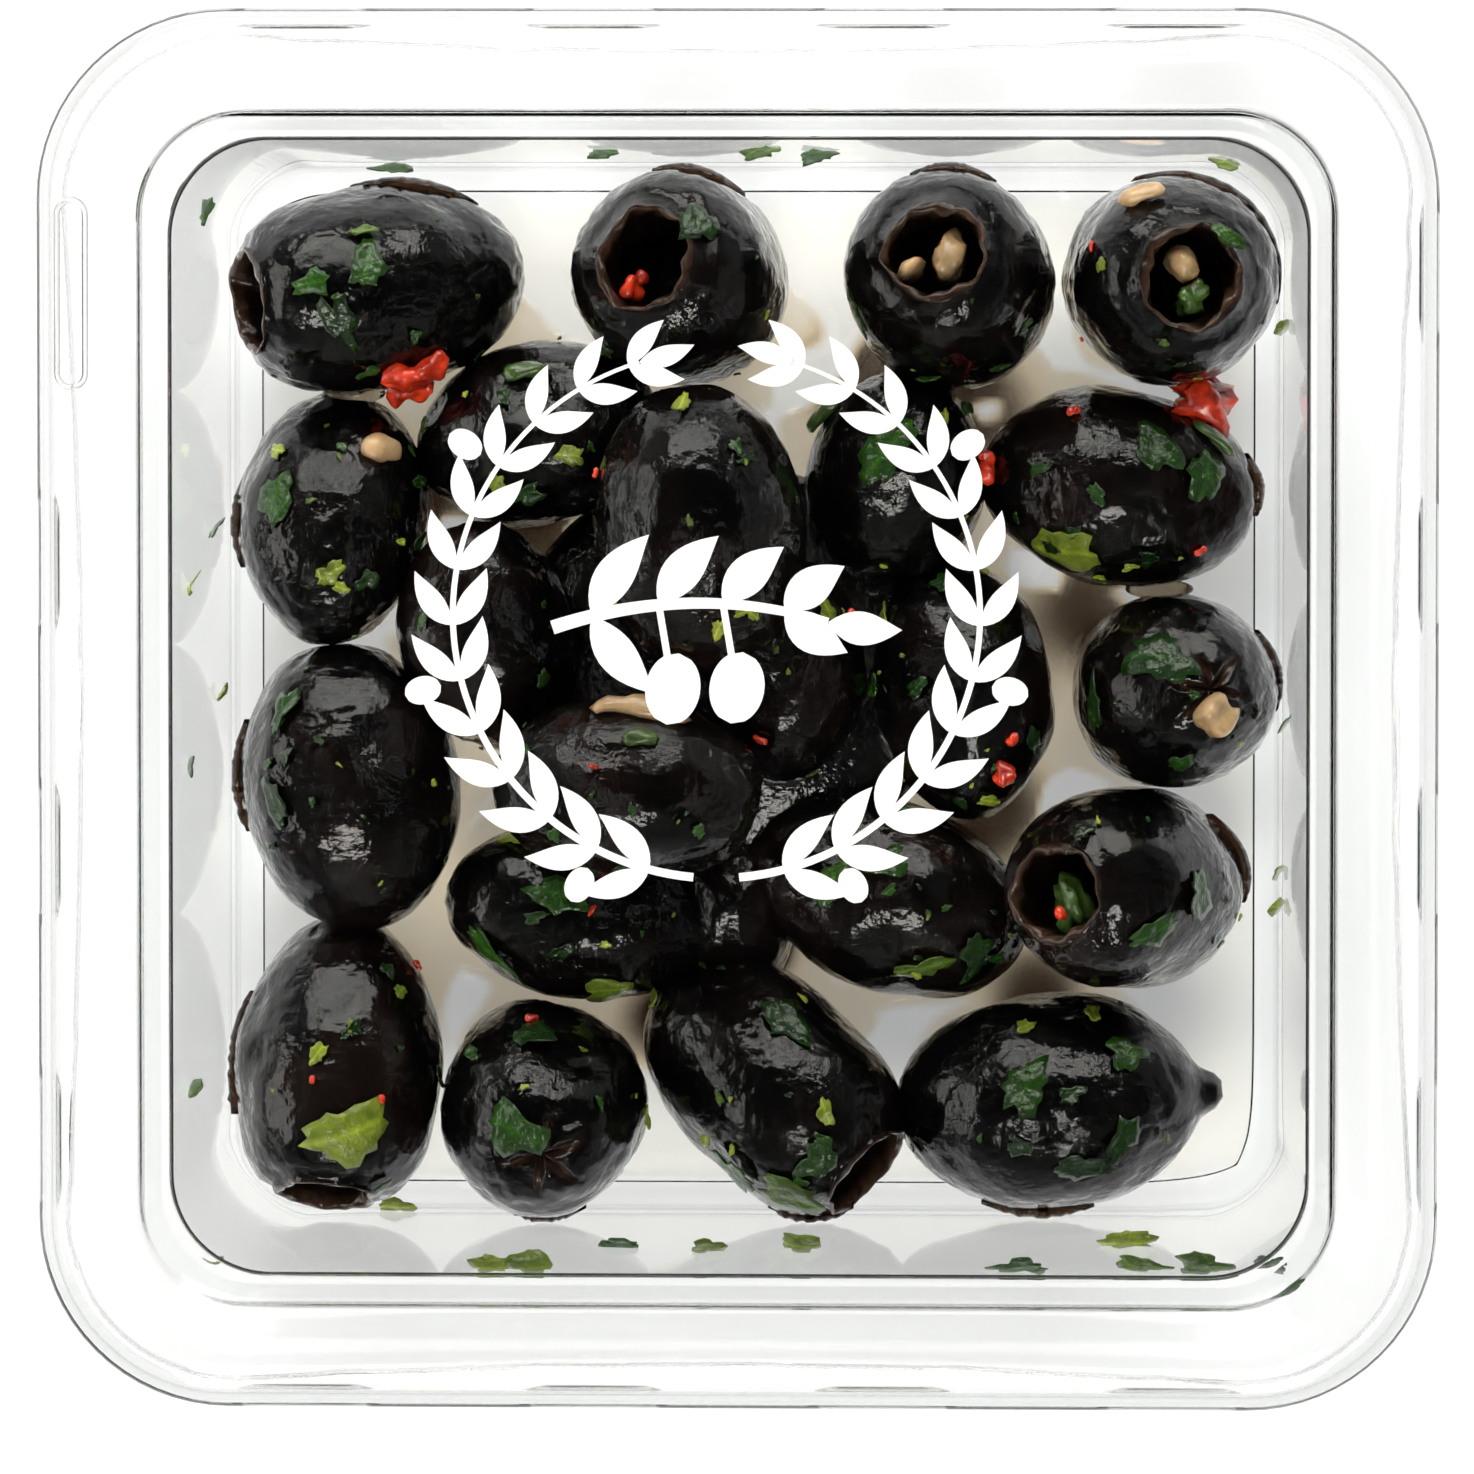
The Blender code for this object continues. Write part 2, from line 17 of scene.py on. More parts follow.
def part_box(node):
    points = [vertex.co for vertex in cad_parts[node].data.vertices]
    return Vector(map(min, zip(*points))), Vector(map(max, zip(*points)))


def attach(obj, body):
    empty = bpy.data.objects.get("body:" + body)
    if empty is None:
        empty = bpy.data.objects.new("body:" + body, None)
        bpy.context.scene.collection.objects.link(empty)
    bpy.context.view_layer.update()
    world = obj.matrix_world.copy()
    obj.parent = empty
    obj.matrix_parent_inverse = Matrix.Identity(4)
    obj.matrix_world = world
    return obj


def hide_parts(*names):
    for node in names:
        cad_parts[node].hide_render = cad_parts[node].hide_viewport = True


bl_info = {
    "name": "Tub of olives",
    "version": (1, 0, 0),
    "blender": (4, 5, 0),
    "location": "View3D > Sidebar > Olives",
    "description": "Clear tub and lid, wet olives, herbs, chilli, garlic, oil and print over packed solids",
    "category": "Object",
}

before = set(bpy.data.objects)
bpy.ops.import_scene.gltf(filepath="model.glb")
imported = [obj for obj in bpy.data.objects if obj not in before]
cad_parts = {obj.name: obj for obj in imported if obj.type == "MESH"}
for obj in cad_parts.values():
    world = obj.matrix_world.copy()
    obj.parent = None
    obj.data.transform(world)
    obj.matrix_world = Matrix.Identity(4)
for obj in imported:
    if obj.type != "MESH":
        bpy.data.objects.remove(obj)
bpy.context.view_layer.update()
MM = 0.001
LID_TOP_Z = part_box("lid")[1].z / MM
LID_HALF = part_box("lid")[1].x / MM
FLANGE_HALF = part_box("tub")[1].x / MM

# Section rows of the clear shells: half width, corner radius, height, how far the middle
# of each side draws in, and how far from the row its bend begins
SHEET = 0.3
STEP_SHEET = 0.55
FLOOR_Z = 0.9
PANEL_Z = LID_TOP_Z - 4.4
WALL_FOOT_HALF = 45.4
WALL_FOOT_Z = FLOOR_Z + 3.2
WALL_TOP_HALF = 48.8
WALL_TOP_Z = 39.8
LEDGE_Z = 40.4
LEDGE_HALF = 51.3
RISE_HALF = 55.2
FLANGE_Z = 44.2
FLANGE_BOW = 1.4
TUB_SECTION = [
    (0.0, 0.0, 0.0, 0.0, 0.0),
    (WALL_FOOT_HALF + SHEET, 6.0, 0.0, 0.0, 3.8),
    (WALL_TOP_HALF + SHEET, 8.8, LEDGE_Z - SHEET, 0.0, 0.85),
    (LEDGE_HALF + 0.15, 11.0, LEDGE_Z - SHEET, 0.0, 1.8),
    (RISE_HALF + 0.25, 13.2, FLANGE_Z - SHEET, FLANGE_BOW / 2, 1.6),
    (FLANGE_HALF - 0.4 - SHEET, 14.6, FLANGE_Z - SHEET, FLANGE_BOW, 0.8),
    (FLANGE_HALF - SHEET, 14.8, 41.2, FLANGE_BOW, 0.1),
    (FLANGE_HALF, 15.2, 41.2, FLANGE_BOW, 0.1),
    (FLANGE_HALF - 0.4, 15.0, FLANGE_Z, FLANGE_BOW, 1.0),
    (RISE_HALF, 13.0, FLANGE_Z, FLANGE_BOW / 2, 1.7),
    (LEDGE_HALF, 10.8, LEDGE_Z, 0.0, 1.7),
    (WALL_TOP_HALF, 8.5, LEDGE_Z, 0.0, 1.12),
    (WALL_FOOT_HALF, 6.0, FLOOR_Z, 0.0, 3.4),
    (0.0, 0.0, FLOOR_Z, 0.0, 0.0),
]

# The flange is slightly wavy from this half width out
RIPPLE = 0.16
RIPPLE_FROM = 55.5

# Lid: its skirt, the heights of the catch lugs in it, and its section
SKIRT_FOOT_Z = 37.0
SKIRT_IN_HALF = LID_HALF - 0.8
LUG_LOW_Z = 38.4
LUG_HIGH_Z = 40.4
LUG_EASE = 0.7
SKIRT_ROWS = [(SKIRT_IN_HALF, 15.5, z, 0.0, 0.0) for z in np.linspace(42.4, SKIRT_FOOT_Z + 0.4, 17)]
LID_SECTION = [
    (0.0, 0.0, PANEL_Z - STEP_SHEET, 0.0, 0.0),
    (49.85, 8.6, PANEL_Z - STEP_SHEET, 0.0, 0.4),
    (51.25, 8.9, 45.1, 0.0, 0.6),
    (55.4, 12.4, LID_TOP_Z - 0.36, 0.0, 2.4),
    (58.4, 14.8, 44.9, 0.0, 1.3),
    (SKIRT_IN_HALF, 15.5, 43.2, 0.0, 0.6),
    *SKIRT_ROWS,
    (SKIRT_IN_HALF, 15.5, SKIRT_FOOT_Z, 0.0, 0.2),
    (LID_HALF, 16.3, SKIRT_FOOT_Z, 0.0, 0.2),
    (LID_HALF, 16.3, 43.8, 0.0, 1.2),
    (59.1, 15.4, 45.4, 0.0, 1.3),
    (55.4, 12.4, LID_TOP_Z + 0.04, 0.0, 2.4),
    (50.75, 8.4, 45.6, 0.0, 0.45),
    (49.3, 8.1, PANEL_Z, 0.0, 0.4),
    (47.5, 7.0, PANEL_Z, 0.0, 0.0),
    (0.0, 0.0, PANEL_Z, 0.0, 0.0),
]

# Steps of each bend, places of the lugs along a side, the side that has one lug less, and
# the raised loop
EASE_STEPS = 5
LUG_PLACES = [-37.35, -12.45, 12.45, 37.35]
BARE_SIDE = 2
RIB_CENTRE = (-56.75, 35.6)
RIB_HALF_WIDTH = 1.2
RIB_HALF_LENGTH = 8.0
RIB_RADIUS = 0.26
RIB_Z = LID_TOP_Z - 0.35

# Olives: centre x, centre y, length, width, heading of the open end from +X, lift of
# that end above level, height of the centre or None on the floor, and form of the end
REST_Z = FLOOR_Z + 0.3
OLIVES = {
    "a": (-32.8, 35.4, 26.8, 18.2, 185.0, 22.0, None, "pit"),
    "b": (-6.0, 36.0, 25.0, 18.8, 143.0, 71.0, None, "pit"),
    "c": (17.5, 35.7, 25.0, 18.8, 109.0, 73.0, None, "pit"),
    "d": (36.2, 36.2, 25.0, 18.4, 13.0, 77.0, None, "pit"),
    "e": (-36.6, 15.4, 23.5, 17.4, 84.0, -22.0, None, "plain"),
    "f": (-18.8, 22.6, 22.5, 16.4, 12.0, 8.0, None, "plain"),
    "g": (-4.2, 14.7, 26.5, 18.8, 95.0, 5.0, 22.0, "plain"),
    "h": (12.2, 18.4, 21.5, 16.4, 70.0, 30.0, None, "plain"),
    "i": (32.0, 18.2, 24.5, 18.0, -8.0, 0.0, None, "plain"),
    "j": (-35.2, -8.2, 26.0, 20.0, -82.0, 0.0, None, "plain"),
    "k": (-23.2, 5.0, 21.5, 15.8, 100.0, 15.0, 13.0, "plain"),
    "l": (-10.3, -7.8, 24.0, 17.2, -4.0, 3.0, 22.2, "plain"),
    "m": (3.0, 2.0, 20.5, 14.6, 86.0, 8.0, 12.5, "plain"),
    "n": (18.2, 0.5, 24.0, 16.4, -80.0, 8.0, None, "plain"),
    "o": (36.6, 0.4, 24.0, 18.0, 9.0, 71.0, None, "star"),
    "p": (-14.9, -19.3, 24.5, 16.0, -6.0, 0.0, None, "plain"),
    "q": (11.8, -17.6, 26.5, 17.2, -22.0, 0.0, None, "plain"),
    "r": (32.8, -17.0, 26.0, 18.2, 179.0, 58.0, None, "pit"),
    "s": (-36.4, -32.7, 26.6, 18.4, -95.0, 18.0, None, "pit"),
    "t": (-18.5, -36.2, 23.0, 18.8, -81.0, 70.0, None, "star"),
    "u": (1.6, -33.9, 27.6, 18.2, -42.0, 20.0, None, "pit"),
    "v": (26.0, -35.8, 27.1, 19.4, 3.0, 0.0, None, "nipple"),
    "w": (-1.8, -20.0, 16.0, 12.6, 96.0, 24.0, None, "plain"),
}

# Ends of olives: the pit hole and its torn lip, steps from tip to lip, round it and down
# the hole, then the nipple and the star
PIT_RADIUS = 4.0
PIT_RIM = 0.9
PIT_DEPTH = 9.0
PIT_TAPER = 0.8
PIT_FULLNESS = 3.2
LIP_START = 0.9
LIP_SET = 0.35
LIP_ROLL = 0.45
BODY_ROWS = 44
LIP_ROWS = 8
HOLE_ROWS = 8
NIPPLE_LENGTH = 2.0
NIPPLE_RADIUS = 2.1
NIPPLE_SHARE = 0.13
STAR_RADIUS = 3.6
STAR_CUT = 0.35
STAR_TURN = 0.2

# Relief: wavelengths of the hollows and wrinkles, how far wrinkles run along an olive,
# and how many dents it has, of which sizes
HOLLOW_SIZE = 13.0
WRINKLE_SIZE = 2.6
WRINKLE_RUN = 0.35
DENTS = 9
DENT_SIZES = (1.0, 4.2)

# The heap's own core, hidden under the middle
CORE_CENTRE = (-2.5, 1.5, 8.0)
CORE_HALF = (19.5, 18.5, 5.6)

# Leaf scraps on the olives: x, y, length and turn, seen from above
LEAVES = [
    (-33.6, 40.4, 2.6, 20), (-33.4, 37.6, 4.4, 75), (-37.9, 36.1, 3.0, 10), (-35.6, 32.8, 5.4, -60),
    (-41.3, 17.3, 4.6, 80), (-36.4, 10.8, 2.8, 30), (-40.5, -1.2, 4.4, 80), (-41.3, -9.4, 4.4, -60),
    (-35.2, -38.2, 7.4, 20), (-20.2, -37.6, 6.4, -25), (-18.8, -29.4, 4.0, 30), (-22.9, -22.6, 5.4, -45),
    (-20.0, -12.6, 4.8, -50), (-10.2, -14.6, 3.6, 40), (-12.7, -25.8, 4.2, 0), (-16.6, -17.4, 5.6, -15),
    (36.0, 3.6, 6.2, -15), (30.0, -0.6, 5.2, 70), (27.3, 12.8, 6.6, 12), (35.4, 21.8, 5.0, -40),
    (39.6, 19.4, 4.4, 70), (12.0, 21.4, 6.4, 50), (24.4, -33.8, 5.0, 70), (29.2, -40.8, 4.8, 8),
    (32.8, -38.2, 4.0, 60), (32.8, -31.2, 3.6, -20), (3.6, -43.6, 6.0, -25), (-1.4, -41.4, 4.6, -40),
    (6.2, -40.2, 4.2, 70), (3.4, -28.4, 4.8, -35), (15.2, -23.6, 5.0, 10), (19.8, -22.6, 3.8, 70),
    (7.0, -16.2, 4.2, 50), (12.2, -14.6, 3.4, 0), (35.4, -20.2, 5.0, 15), (39.0, -17.4, 4.6, 85),
    (-4.2, 41.2, 3.8, -30), (9.6, 33.6, 4.2, 75), (41.6, 40.2, 3.2, -30), (-19.6, 17.6, 3.0, 30),
]
LEAF_RINGS = 4
LEAF_AROUND = 24
LEAF_TEETH = 0.13
LEAF_LOBES = ((2, 0.12), (3, 0.24), (5, 0.17), (9, 0.12))
LEAF_WIDTHS = (0.42, 0.8)
FLAKE_COUNT = 210
FLAKE_SPAN = 43.0
FLAKE_LOWEST = 9.0
FLAKE_SMALLEST = 0.45
FLAKE_SPREAD = 1.9

# How far the scraps on the walls lean off them, and how much longer than listed they are
WALL_TILT = 0.8
WALL_SCALE = 1.45

# Leaf scraps stuck to the inside of the walls and on the ledge: x, y, z, length and turn
WALL_FLAKES = [
    (-47.3, 42.6, 24.0, 1.6, 30), (-31.8, 46.4, 12.2, 2.2, 0), (-12.2, 47.7, 28.0, 1.8, 10),
    (1.6, 47.9, 30.8, 2.0, 5), (6.3, 47.5, 26.0, 2.2, -8), (-46.9, 14.6, 19.0, 1.6, 60),
    (-48.0, 10.2, 31.2, 1.8, 80), (-46.5, 0.2, 15.0, 1.6, 70), (-48.0, -5.6, 31.5, 1.6, 50),
    (46.8, -2.2, 19.0, 1.8, 80), (46.1, -15.7, 11.2, 2.0, 70), (46.2, -18.8, 12.2, 1.8, 80),
    (-48.0, -33.6, 31.0, 1.6, 60), (-31.9, -45.5, 6.5, 2.2, 10), (-11.0, -47.5, 25.8, 2.6, 10),
    (-3.2, -47.6, 27.5, 2.2, -15), (4.9, -47.5, 25.8, 2.4, 5), (33.2, -47.3, 23.8, 3.0, 5),
    (24.2, -48.5, 36.8, 3.2, 0), (34.6, -48.5, 36.2, 2.8, 0), (40.1, -48.5, 36.0, 3.2, 10),
    (46.1, -48.5, 36.2, 2.0, 30), (-21.5, -48.6, 37.6, 2.0, 0), (-18.1, -48.6, 37.6, 2.4, 5),
    (41.7, 46.6, 17.0, 1.8, 20), (46.7, 32.3, 17.2, 2.2, 80), (-45.7, -48.5, 37.0, 1.6, 40),
]

# Rods of stem and lumps of chilli and garlic on the olives: x, y, length, width and turn
STEMS = [
    (-19.8, 28.0, 4.2, 1.5, 2), (-8.9, -3.2, 3.4, 1.4, 0),
    (6.4, 24.2, 4.6, 1.4, -10), (40.2, 22.6, 5.0, 1.0, -32),
]
CHILLIES = [
    (-29.4, 28.4, 6.2, 2.4, 8), (-30.0, 26.9, 4.4, 2.2, 48), (38.8, 25.0, 5.6, 4.6, 60),
    (22.0, -6.8, 2.2, 1.8, 60), (20.8, 19.8, 3.2, 1.6, -60),
]
GARLICS = [
    (34.4, 43.4, 4.4, 1.8, 8), (-32.4, 21.4, 3.8, 2.4, 10),
    (40.4, -1.2, 3.8, 3.2, -40), (-9.0, -0.8, 9.0, 2.0, -8),
]
RED_FLAKE_COUNT = 18

# Lumps in an open end: olive, length, width, height, turn, how far aside and how far in
PIT_GARLICS = [
    ("c", 4.4, 2.6, 5.0, 60, -0.9, 5.2), ("c", 2.6, 1.4, 5.0, 20, 2.7, 4.4),
    ("d", 3.2, 2.4, 4.0, 20, 1.2, 4.4),
]
PIT_CHILLIES = [
    ("b", 2.0, 1.5, 2.0, 20, 2.9, 3.2), ("b", 1.3, 1.0, 1.2, 70, 1.6, 3.6),
    ("r", 1.2, 0.9, 1.4, 10, 1.8, 2.6),
]
PIT_HERBS = [("r", 4.4, 2.8, 3.0, 20, 1.2, 4.8), ("d", 3.4, 2.0, 3.0, -40, -1.9, 4.4)]

# How near its axis an open end has no scraps
MOUTH_REACH = 5.4

# Oil on the floor: half width of its sheet, how far its corners draw in, thickness of
# its film, where the deeper middle ends and how softly, points a side, how high up the
# olives its edge is measured, how wide the lip round them is, and how far it reaches
# from them and wanders, at the wall and more in the middle
POOL_HALF = 43.6
POOL_ROUND = 0.03
POOL_FILM = 0.03
MIDDLE_EDGE = 38.0
MIDDLE_BLEND = 10.0
POOL_POINTS = 181
FOOT_HEIGHT = 2.2
LIP_SPAN = 0.6
POOL_REACH = (0.6, 4.2)
POOL_WANDER = (0.4, 0.9)
POOL_WAVE = 9.0

# Painted shade in the gaps of the heap, laid on the oil as browner spots: x, y and radius
GAP_SHADE_SPOTS = [
    (-29.6, 16.2, 4.0), (-32.0, 7.6, 4.0), (8.7, 27.6, 5.0), (19.2, 24.4, 5.0),
    (29.0, 6.8, 5.5), (20.6, -11.0, 5.0), (24.5, -27.0, 4.0), (-8.4, -29.5, 4.0), (-20.0, 13.6, 5.5),
]
GAP_SHADE_DEPTH = 0.5

# Oil held at a wall: how far it stands out, how far it reaches in, half its height, and
# how far out the corner lets it go
OIL_LIP = 0.5
OIL_DEEP = 0.7
OIL_TALL = 1.3
CORNER_REACH = 61.8

# Oil that joins two olives: x, y, z and half width, then its half thickness and height
OIL_NECKS = [(-35.0, 26.3, 9.6, 2.8), (35.4, 9.2, 9.6, 3.0)]
NECK_THIN = 0.9
NECK_TALL = 1.5

# Oil held between an olive and a wall: olive, side counted from +X, place along the
# side, and half of the stretch that it wets
OIL_BRIDGES = [
    ("a", 1, 30.0, 5.6), ("b", 1, 4.6, 4.0), ("c", 1, -17.8, 3.8), ("d", 0.5, 0.0, 8.0),
    ("e", 2, -15.4, 4.4), ("j", 2, 7.4, 5.0), ("s", 2, 32.0, 5.4), ("t", 3, -18.2, 3.6), ("u", 3, 5.2, 3.8),
    ("v", 3, 25.2, 5.0), ("i", 0, 18.4, 2.8), ("o", 0, 2.2, 3.6), ("r", 0, -14.6, 4.0),
]

# Camera and photograph
PHOTO_SIDE_PX = 1474
LID_SPAN_PX = 1400
SENSOR = 36.0
CAMERA_DISTANCE = 1000.0
CAMERA_LEAN = (0.045, 0.050, 1.0)
CAMERA_TARGET = (-0.043, -2.4, 41.0)
LAMP_COLOUR = (1.0, 0.965, 0.91)
FLOOR_HALF = 2500.0
FLOOR_DROP = 0.2

# Softboxes: degrees off the vertical, heading from +X, then distance, width and depth in metres
SOFTBOXES = {
    "softbox_behind": (58.0, 90.0, 1.05, 0.75, 1.25),
    "softbox_in_front": (33.0, -90.0, 1.2, 0.32, 0.60),
    "softbox_on_the_left": (68.0, 180.0, 1.1, 0.5, 1.0),
}


class PlasticLook(bpy.types.PropertyGroup):
    """Sizes and finish of the clear tub and lid."""

    corner_steps: IntProperty(name="Corner steps", description="Steps round each corner", default=16, min=4)
    side_steps: IntProperty(name="Side steps", description="Steps along each side", default=120, min=4)
    lug_length: FloatProperty(
        name="Lug length", description="Length of each catch lug", default=11.8 * MM, unit="LENGTH"
    )
    lug_reach: FloatProperty(
        name="Lug reach", description="How far a catch lug stands in", default=0.5 * MM, unit="LENGTH"
    )
    tint: FloatVectorProperty(
        name="Tint", description="Colour of the clear plastic", default=(0.955, 0.96, 0.957), subtype="COLOR"
    )
    roughness: FloatProperty(
        name="Roughness", description="Blur of the plastic's gloss", default=0.0, subtype="FACTOR"
    )
    index: FloatProperty(name="Index", description="Refractive index of the plastic", default=1.3)
    edge: FloatVectorProperty(
        name="Edge", description="Colour of the plastic seen edge on",
        default=(0.80, 0.815, 0.81), subtype="COLOR",
    )
    clear_wall: FloatProperty(
        name="Clear wall", description="Share of light that the tub lets by unscattered", default=0.99
    )
    density: FloatProperty(name="Lid density", description="How fast the lid darkens edge on", default=400.0)
    wall_density: FloatProperty(
        name="Tub density", description="How fast the tub darkens edge on", default=30.0
    )


class OliveLook(bpy.types.PropertyGroup):
    """Relief and colours of the olives."""

    around: IntProperty(name="Points round", description="Points round each olive", default=64, min=8)
    uneven: FloatProperty(
        name="Unevenness", description="Depth of the broad hollows", default=0.45 * MM, unit="LENGTH"
    )
    wrinkle: FloatProperty(
        name="Wrinkles", description="Depth of the fine wrinkles", default=0.11 * MM, unit="LENGTH"
    )
    dent: FloatProperty(name="Dents", description="Depth of the dents", default=0.5 * MM, unit="LENGTH")
    skin: FloatVectorProperty(
        name="Skin", description="Colour of the dark skin", default=(0.0009, 0.0008, 0.0008), subtype="COLOR"
    )
    brown: FloatVectorProperty(
        name="Brown", description="Colour of the browner skin",
        default=(0.009, 0.0045, 0.0035), subtype="COLOR",
    )
    flesh: FloatVectorProperty(
        name="Flesh", description="Colour inside the pit hole", default=(0.036, 0.018, 0.011), subtype="COLOR"
    )


class ToppingLook(bpy.types.PropertyGroup):
    """Colours and thickness of the herbs, chilli and garlic."""

    thick: FloatProperty(
        name="Leaf thickness", description="Thickness of a leaf scrap", default=0.13 * MM, unit="LENGTH"
    )
    dark_leaf: FloatVectorProperty(
        name="Dark leaf", description="Colour of the darkest leaves",
        default=(0.003, 0.016, 0.002), subtype="COLOR",
    )
    leaf: FloatVectorProperty(
        name="Leaf", description="Colour of most leaves", default=(0.016, 0.060, 0.006), subtype="COLOR"
    )
    pale_leaf: FloatVectorProperty(
        name="Pale leaf", description="Colour of the yellowest leaves",
        default=(0.26, 0.32, 0.035), subtype="COLOR",
    )
    stem: FloatVectorProperty(
        name="Stem", description="Colour of the stems", default=(0.050, 0.105, 0.016), subtype="COLOR"
    )
    chilli: FloatVectorProperty(
        name="Chilli", description="Colour of the chilli", default=(0.72, 0.030, 0.012), subtype="COLOR"
    )
    garlic: FloatVectorProperty(
        name="Garlic", description="Colour of the garlic", default=(0.52, 0.34, 0.17), subtype="COLOR"
    )


class OilLook(bpy.types.PropertyGroup):
    """Depth and colours of the oil."""

    level: FloatProperty(
        name="Level", description="Depth of the oil on the floor", default=0.5 * MM, unit="LENGTH"
    )
    climb: FloatProperty(
        name="Climb", description="How far oil climbs an olive's foot", default=1.3 * MM, unit="LENGTH"
    )
    # The pool's tan, and the tan colour below it, are partly the oil's tint and partly painted shade under
    # the heap
    tan: FloatProperty(name="Pool tan", description="How brown the pool is", default=0.27, subtype="FACTOR")
    amber: FloatVectorProperty(
        name="Amber", description="Colour of the thin oil", default=(1.0, 1.0, 1.0), subtype="COLOR"
    )
    mid: FloatVectorProperty(
        name="Tan oil", description="Colour of the oil pool", default=(0.80, 0.68, 0.50), subtype="COLOR"
    )
    # The thick oil's brown also serves as painted shade in the heap's gaps and where olives meet the walls
    brown: FloatVectorProperty(
        name="Brown", description="Colour of the thick oil", default=(0.045, 0.022, 0.010), subtype="COLOR"
    )


class PrintLook(bpy.types.PropertyGroup):
    """Size and colour of the printed wreath."""

    radius: FloatProperty(
        name="Radius", description="Radius of the wreath", default=22.6 * MM, unit="LENGTH"
    )
    white: FloatVectorProperty(
        name="White", description="Colour of the print", default=(0.93, 0.93, 0.92), subtype="COLOR"
    )


class StageLook(bpy.types.PropertyGroup):
    """Floor and lights."""

    floor: FloatVectorProperty(
        name="Floor", description="Colour of the floor", default=(0.88, 0.90, 0.94), subtype="COLOR"
    )
    floor_glow: FloatProperty(name="Floor glow", description="Light that the floor gives off", default=0.45)
    lit_radius: FloatProperty(
        name="Lit radius", description="Where the glow begins to fade", default=105 * MM, unit="LENGTH"
    )
    key: FloatProperty(name="Key", description="Power of the softbox behind", default=12.0, unit="POWER")
    fill: FloatProperty(name="Fill", description="Power of the softbox in front", default=5.2, unit="POWER")
    side: FloatProperty(name="Side", description="Power of the left softbox", default=4.0, unit="POWER")
    sky: FloatProperty(name="Sky", description="Strength of the light from above", default=0.003)
    horizon: FloatProperty(name="Horizon", description="Strength of the light from low down", default=0.30)


class TubOfOlives(bpy.types.PropertyGroup):
    """Every size and colour that a user would change."""

    plastic: PointerProperty(type=PlasticLook)
    olive: PointerProperty(type=OliveLook)
    topping: PointerProperty(type=ToppingLook)
    oil: PointerProperty(type=OilLook)
    ink: PointerProperty(type=PrintLook)
    stage: PointerProperty(type=StageLook)


# Meshes

def grid_faces(rows, columns, wrap_rows=False, wrap_columns=True):
    """Quads of a grid of points numbered row by row, closed or open each way."""
    row = np.arange(rows if wrap_rows else rows - 1)
    column = np.arange(columns if wrap_columns else columns - 1)
    row, column = np.meshgrid(row, column, indexing="ij")
    next_row = (row + 1) % rows
    next_column = (column + 1) % columns
    corners = (
        row * columns + column,
        row * columns + next_column,
        next_row * columns + next_column,
        next_row * columns + column,
    )
    return np.stack(corners, axis=-1).reshape(-1, 4)


def many_faces(count, rows, columns):
    """Faces of many grids of one size, numbered one grid after another."""
    starts = np.arange(count)[:, None, None] * rows * columns
    return (grid_faces(rows, columns)[None] + starts).reshape(-1, 4)


def joined(parts):
    """One (points, faces, values) from several, each face's numbers moved past the points before it."""
    points = []
    faces = []
    values = {key: [] for key in parts[0][2]}
    count = 0
    for part_points, part_faces, part_values in parts:
        flat = part_points.reshape(-1, 3)
        points.append(flat)
        faces.append(part_faces + count)
        for key in values:
            values[key].append(np.broadcast_to(part_values[key], len(flat)))
        count += len(flat)
    return np.concatenate(points), np.concatenate(faces), {k: np.concatenate(v) for k, v in values.items()}


def add_object(name, data):
    """A new object of the scene."""
    made = bpy.data.objects.new(name, data)
    bpy.context.scene.collection.objects.link(made)
    return made


def put_mesh(name, points, faces, values=None, sharp=None):
    """A mesh object from points in millimetres: poles and seams are welded, faces made to
    point outwards, and each value kept as a float attribute of the points."""
    if len(faces) == 0:
        raise RuntimeError(f"{name} has no faces")
    data = bpy.data.meshes.new(name)
    data.from_pydata((points.reshape(-1, 3) * MM).tolist(), [], faces.tolist())
    for key, value in (values or {}).items():
        layer = data.attributes.new(key, "FLOAT", "POINT")
        layer.data.foreach_set("value", np.ascontiguousarray(value, dtype=np.float32))
    mesh = bmesh.new()
    mesh.from_mesh(data)
    bmesh.ops.remove_doubles(mesh, verts=mesh.verts, dist=1e-7)
    bmesh.ops.recalc_face_normals(mesh, faces=mesh.faces)
    mesh.to_mesh(data)
    mesh.free()
    data.shade_smooth()
    if sharp is not None:
        data.set_sharp_from_angle(angle=math.radians(sharp))
    return add_object(name, data)


def dress(made, finish, nodes=()):
    """Gives a piece its material and its body, and hides the CAD nodes that it stands for."""
    made.data.materials.append(finish)
    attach(made, "root")
    if nodes:
        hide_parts(*nodes)
    return made


def waves(points, seed, size, count=18):
    """Rolling noise of about unit height: a sum of sine waves in seeded random directions,
    each with a wavelength near size."""
    draw = np.random.default_rng(seed)
    ways = draw.normal(size=(3, count))
    ways /= np.linalg.norm(ways, axis=0)
    rates = 2 * np.pi / (size * draw.uniform(0.7, 1.4, count))
    phases = draw.uniform(0, 2 * np.pi, count)
    return np.sin(points @ (ways * rates) + phases).sum(axis=-1) * math.sqrt(2 / count)


def round_turn(count):
    """Angles of a full turn in even steps."""
    return np.linspace(0, 2 * np.pi, count, endpoint=False)


def ball(rows, columns, half):
    """A sphere stretched to three half sizes, in rows from its top to its foot."""
    down = np.linspace(0, np.pi, rows)[:, None]
    around = round_turn(columns)[None]
    unit = [np.sin(down) * np.cos(around), np.sin(down) * np.sin(around), np.cos(down) + 0 * around]
    return np.stack(unit, axis=-1) * np.array(half)


def turned(u, v, angle):
    """Two coordinates turned by an angle in degrees."""
    angle = math.radians(angle)
    return u * math.cos(angle) - v * math.sin(angle), u * math.sin(angle) + v * math.cos(angle)


def direction(angle):
    """Level unit vectors at angles counted from +X."""
    return np.stack([np.cos(angle), np.sin(angle)], axis=-1)


def smooth_step(value):
    """0 below 0, 1 above 1, and 3v² less 2v³ between."""
    value = np.clip(value, 0, 1)
    return value * value * (3 - 2 * value)


# Clear shells

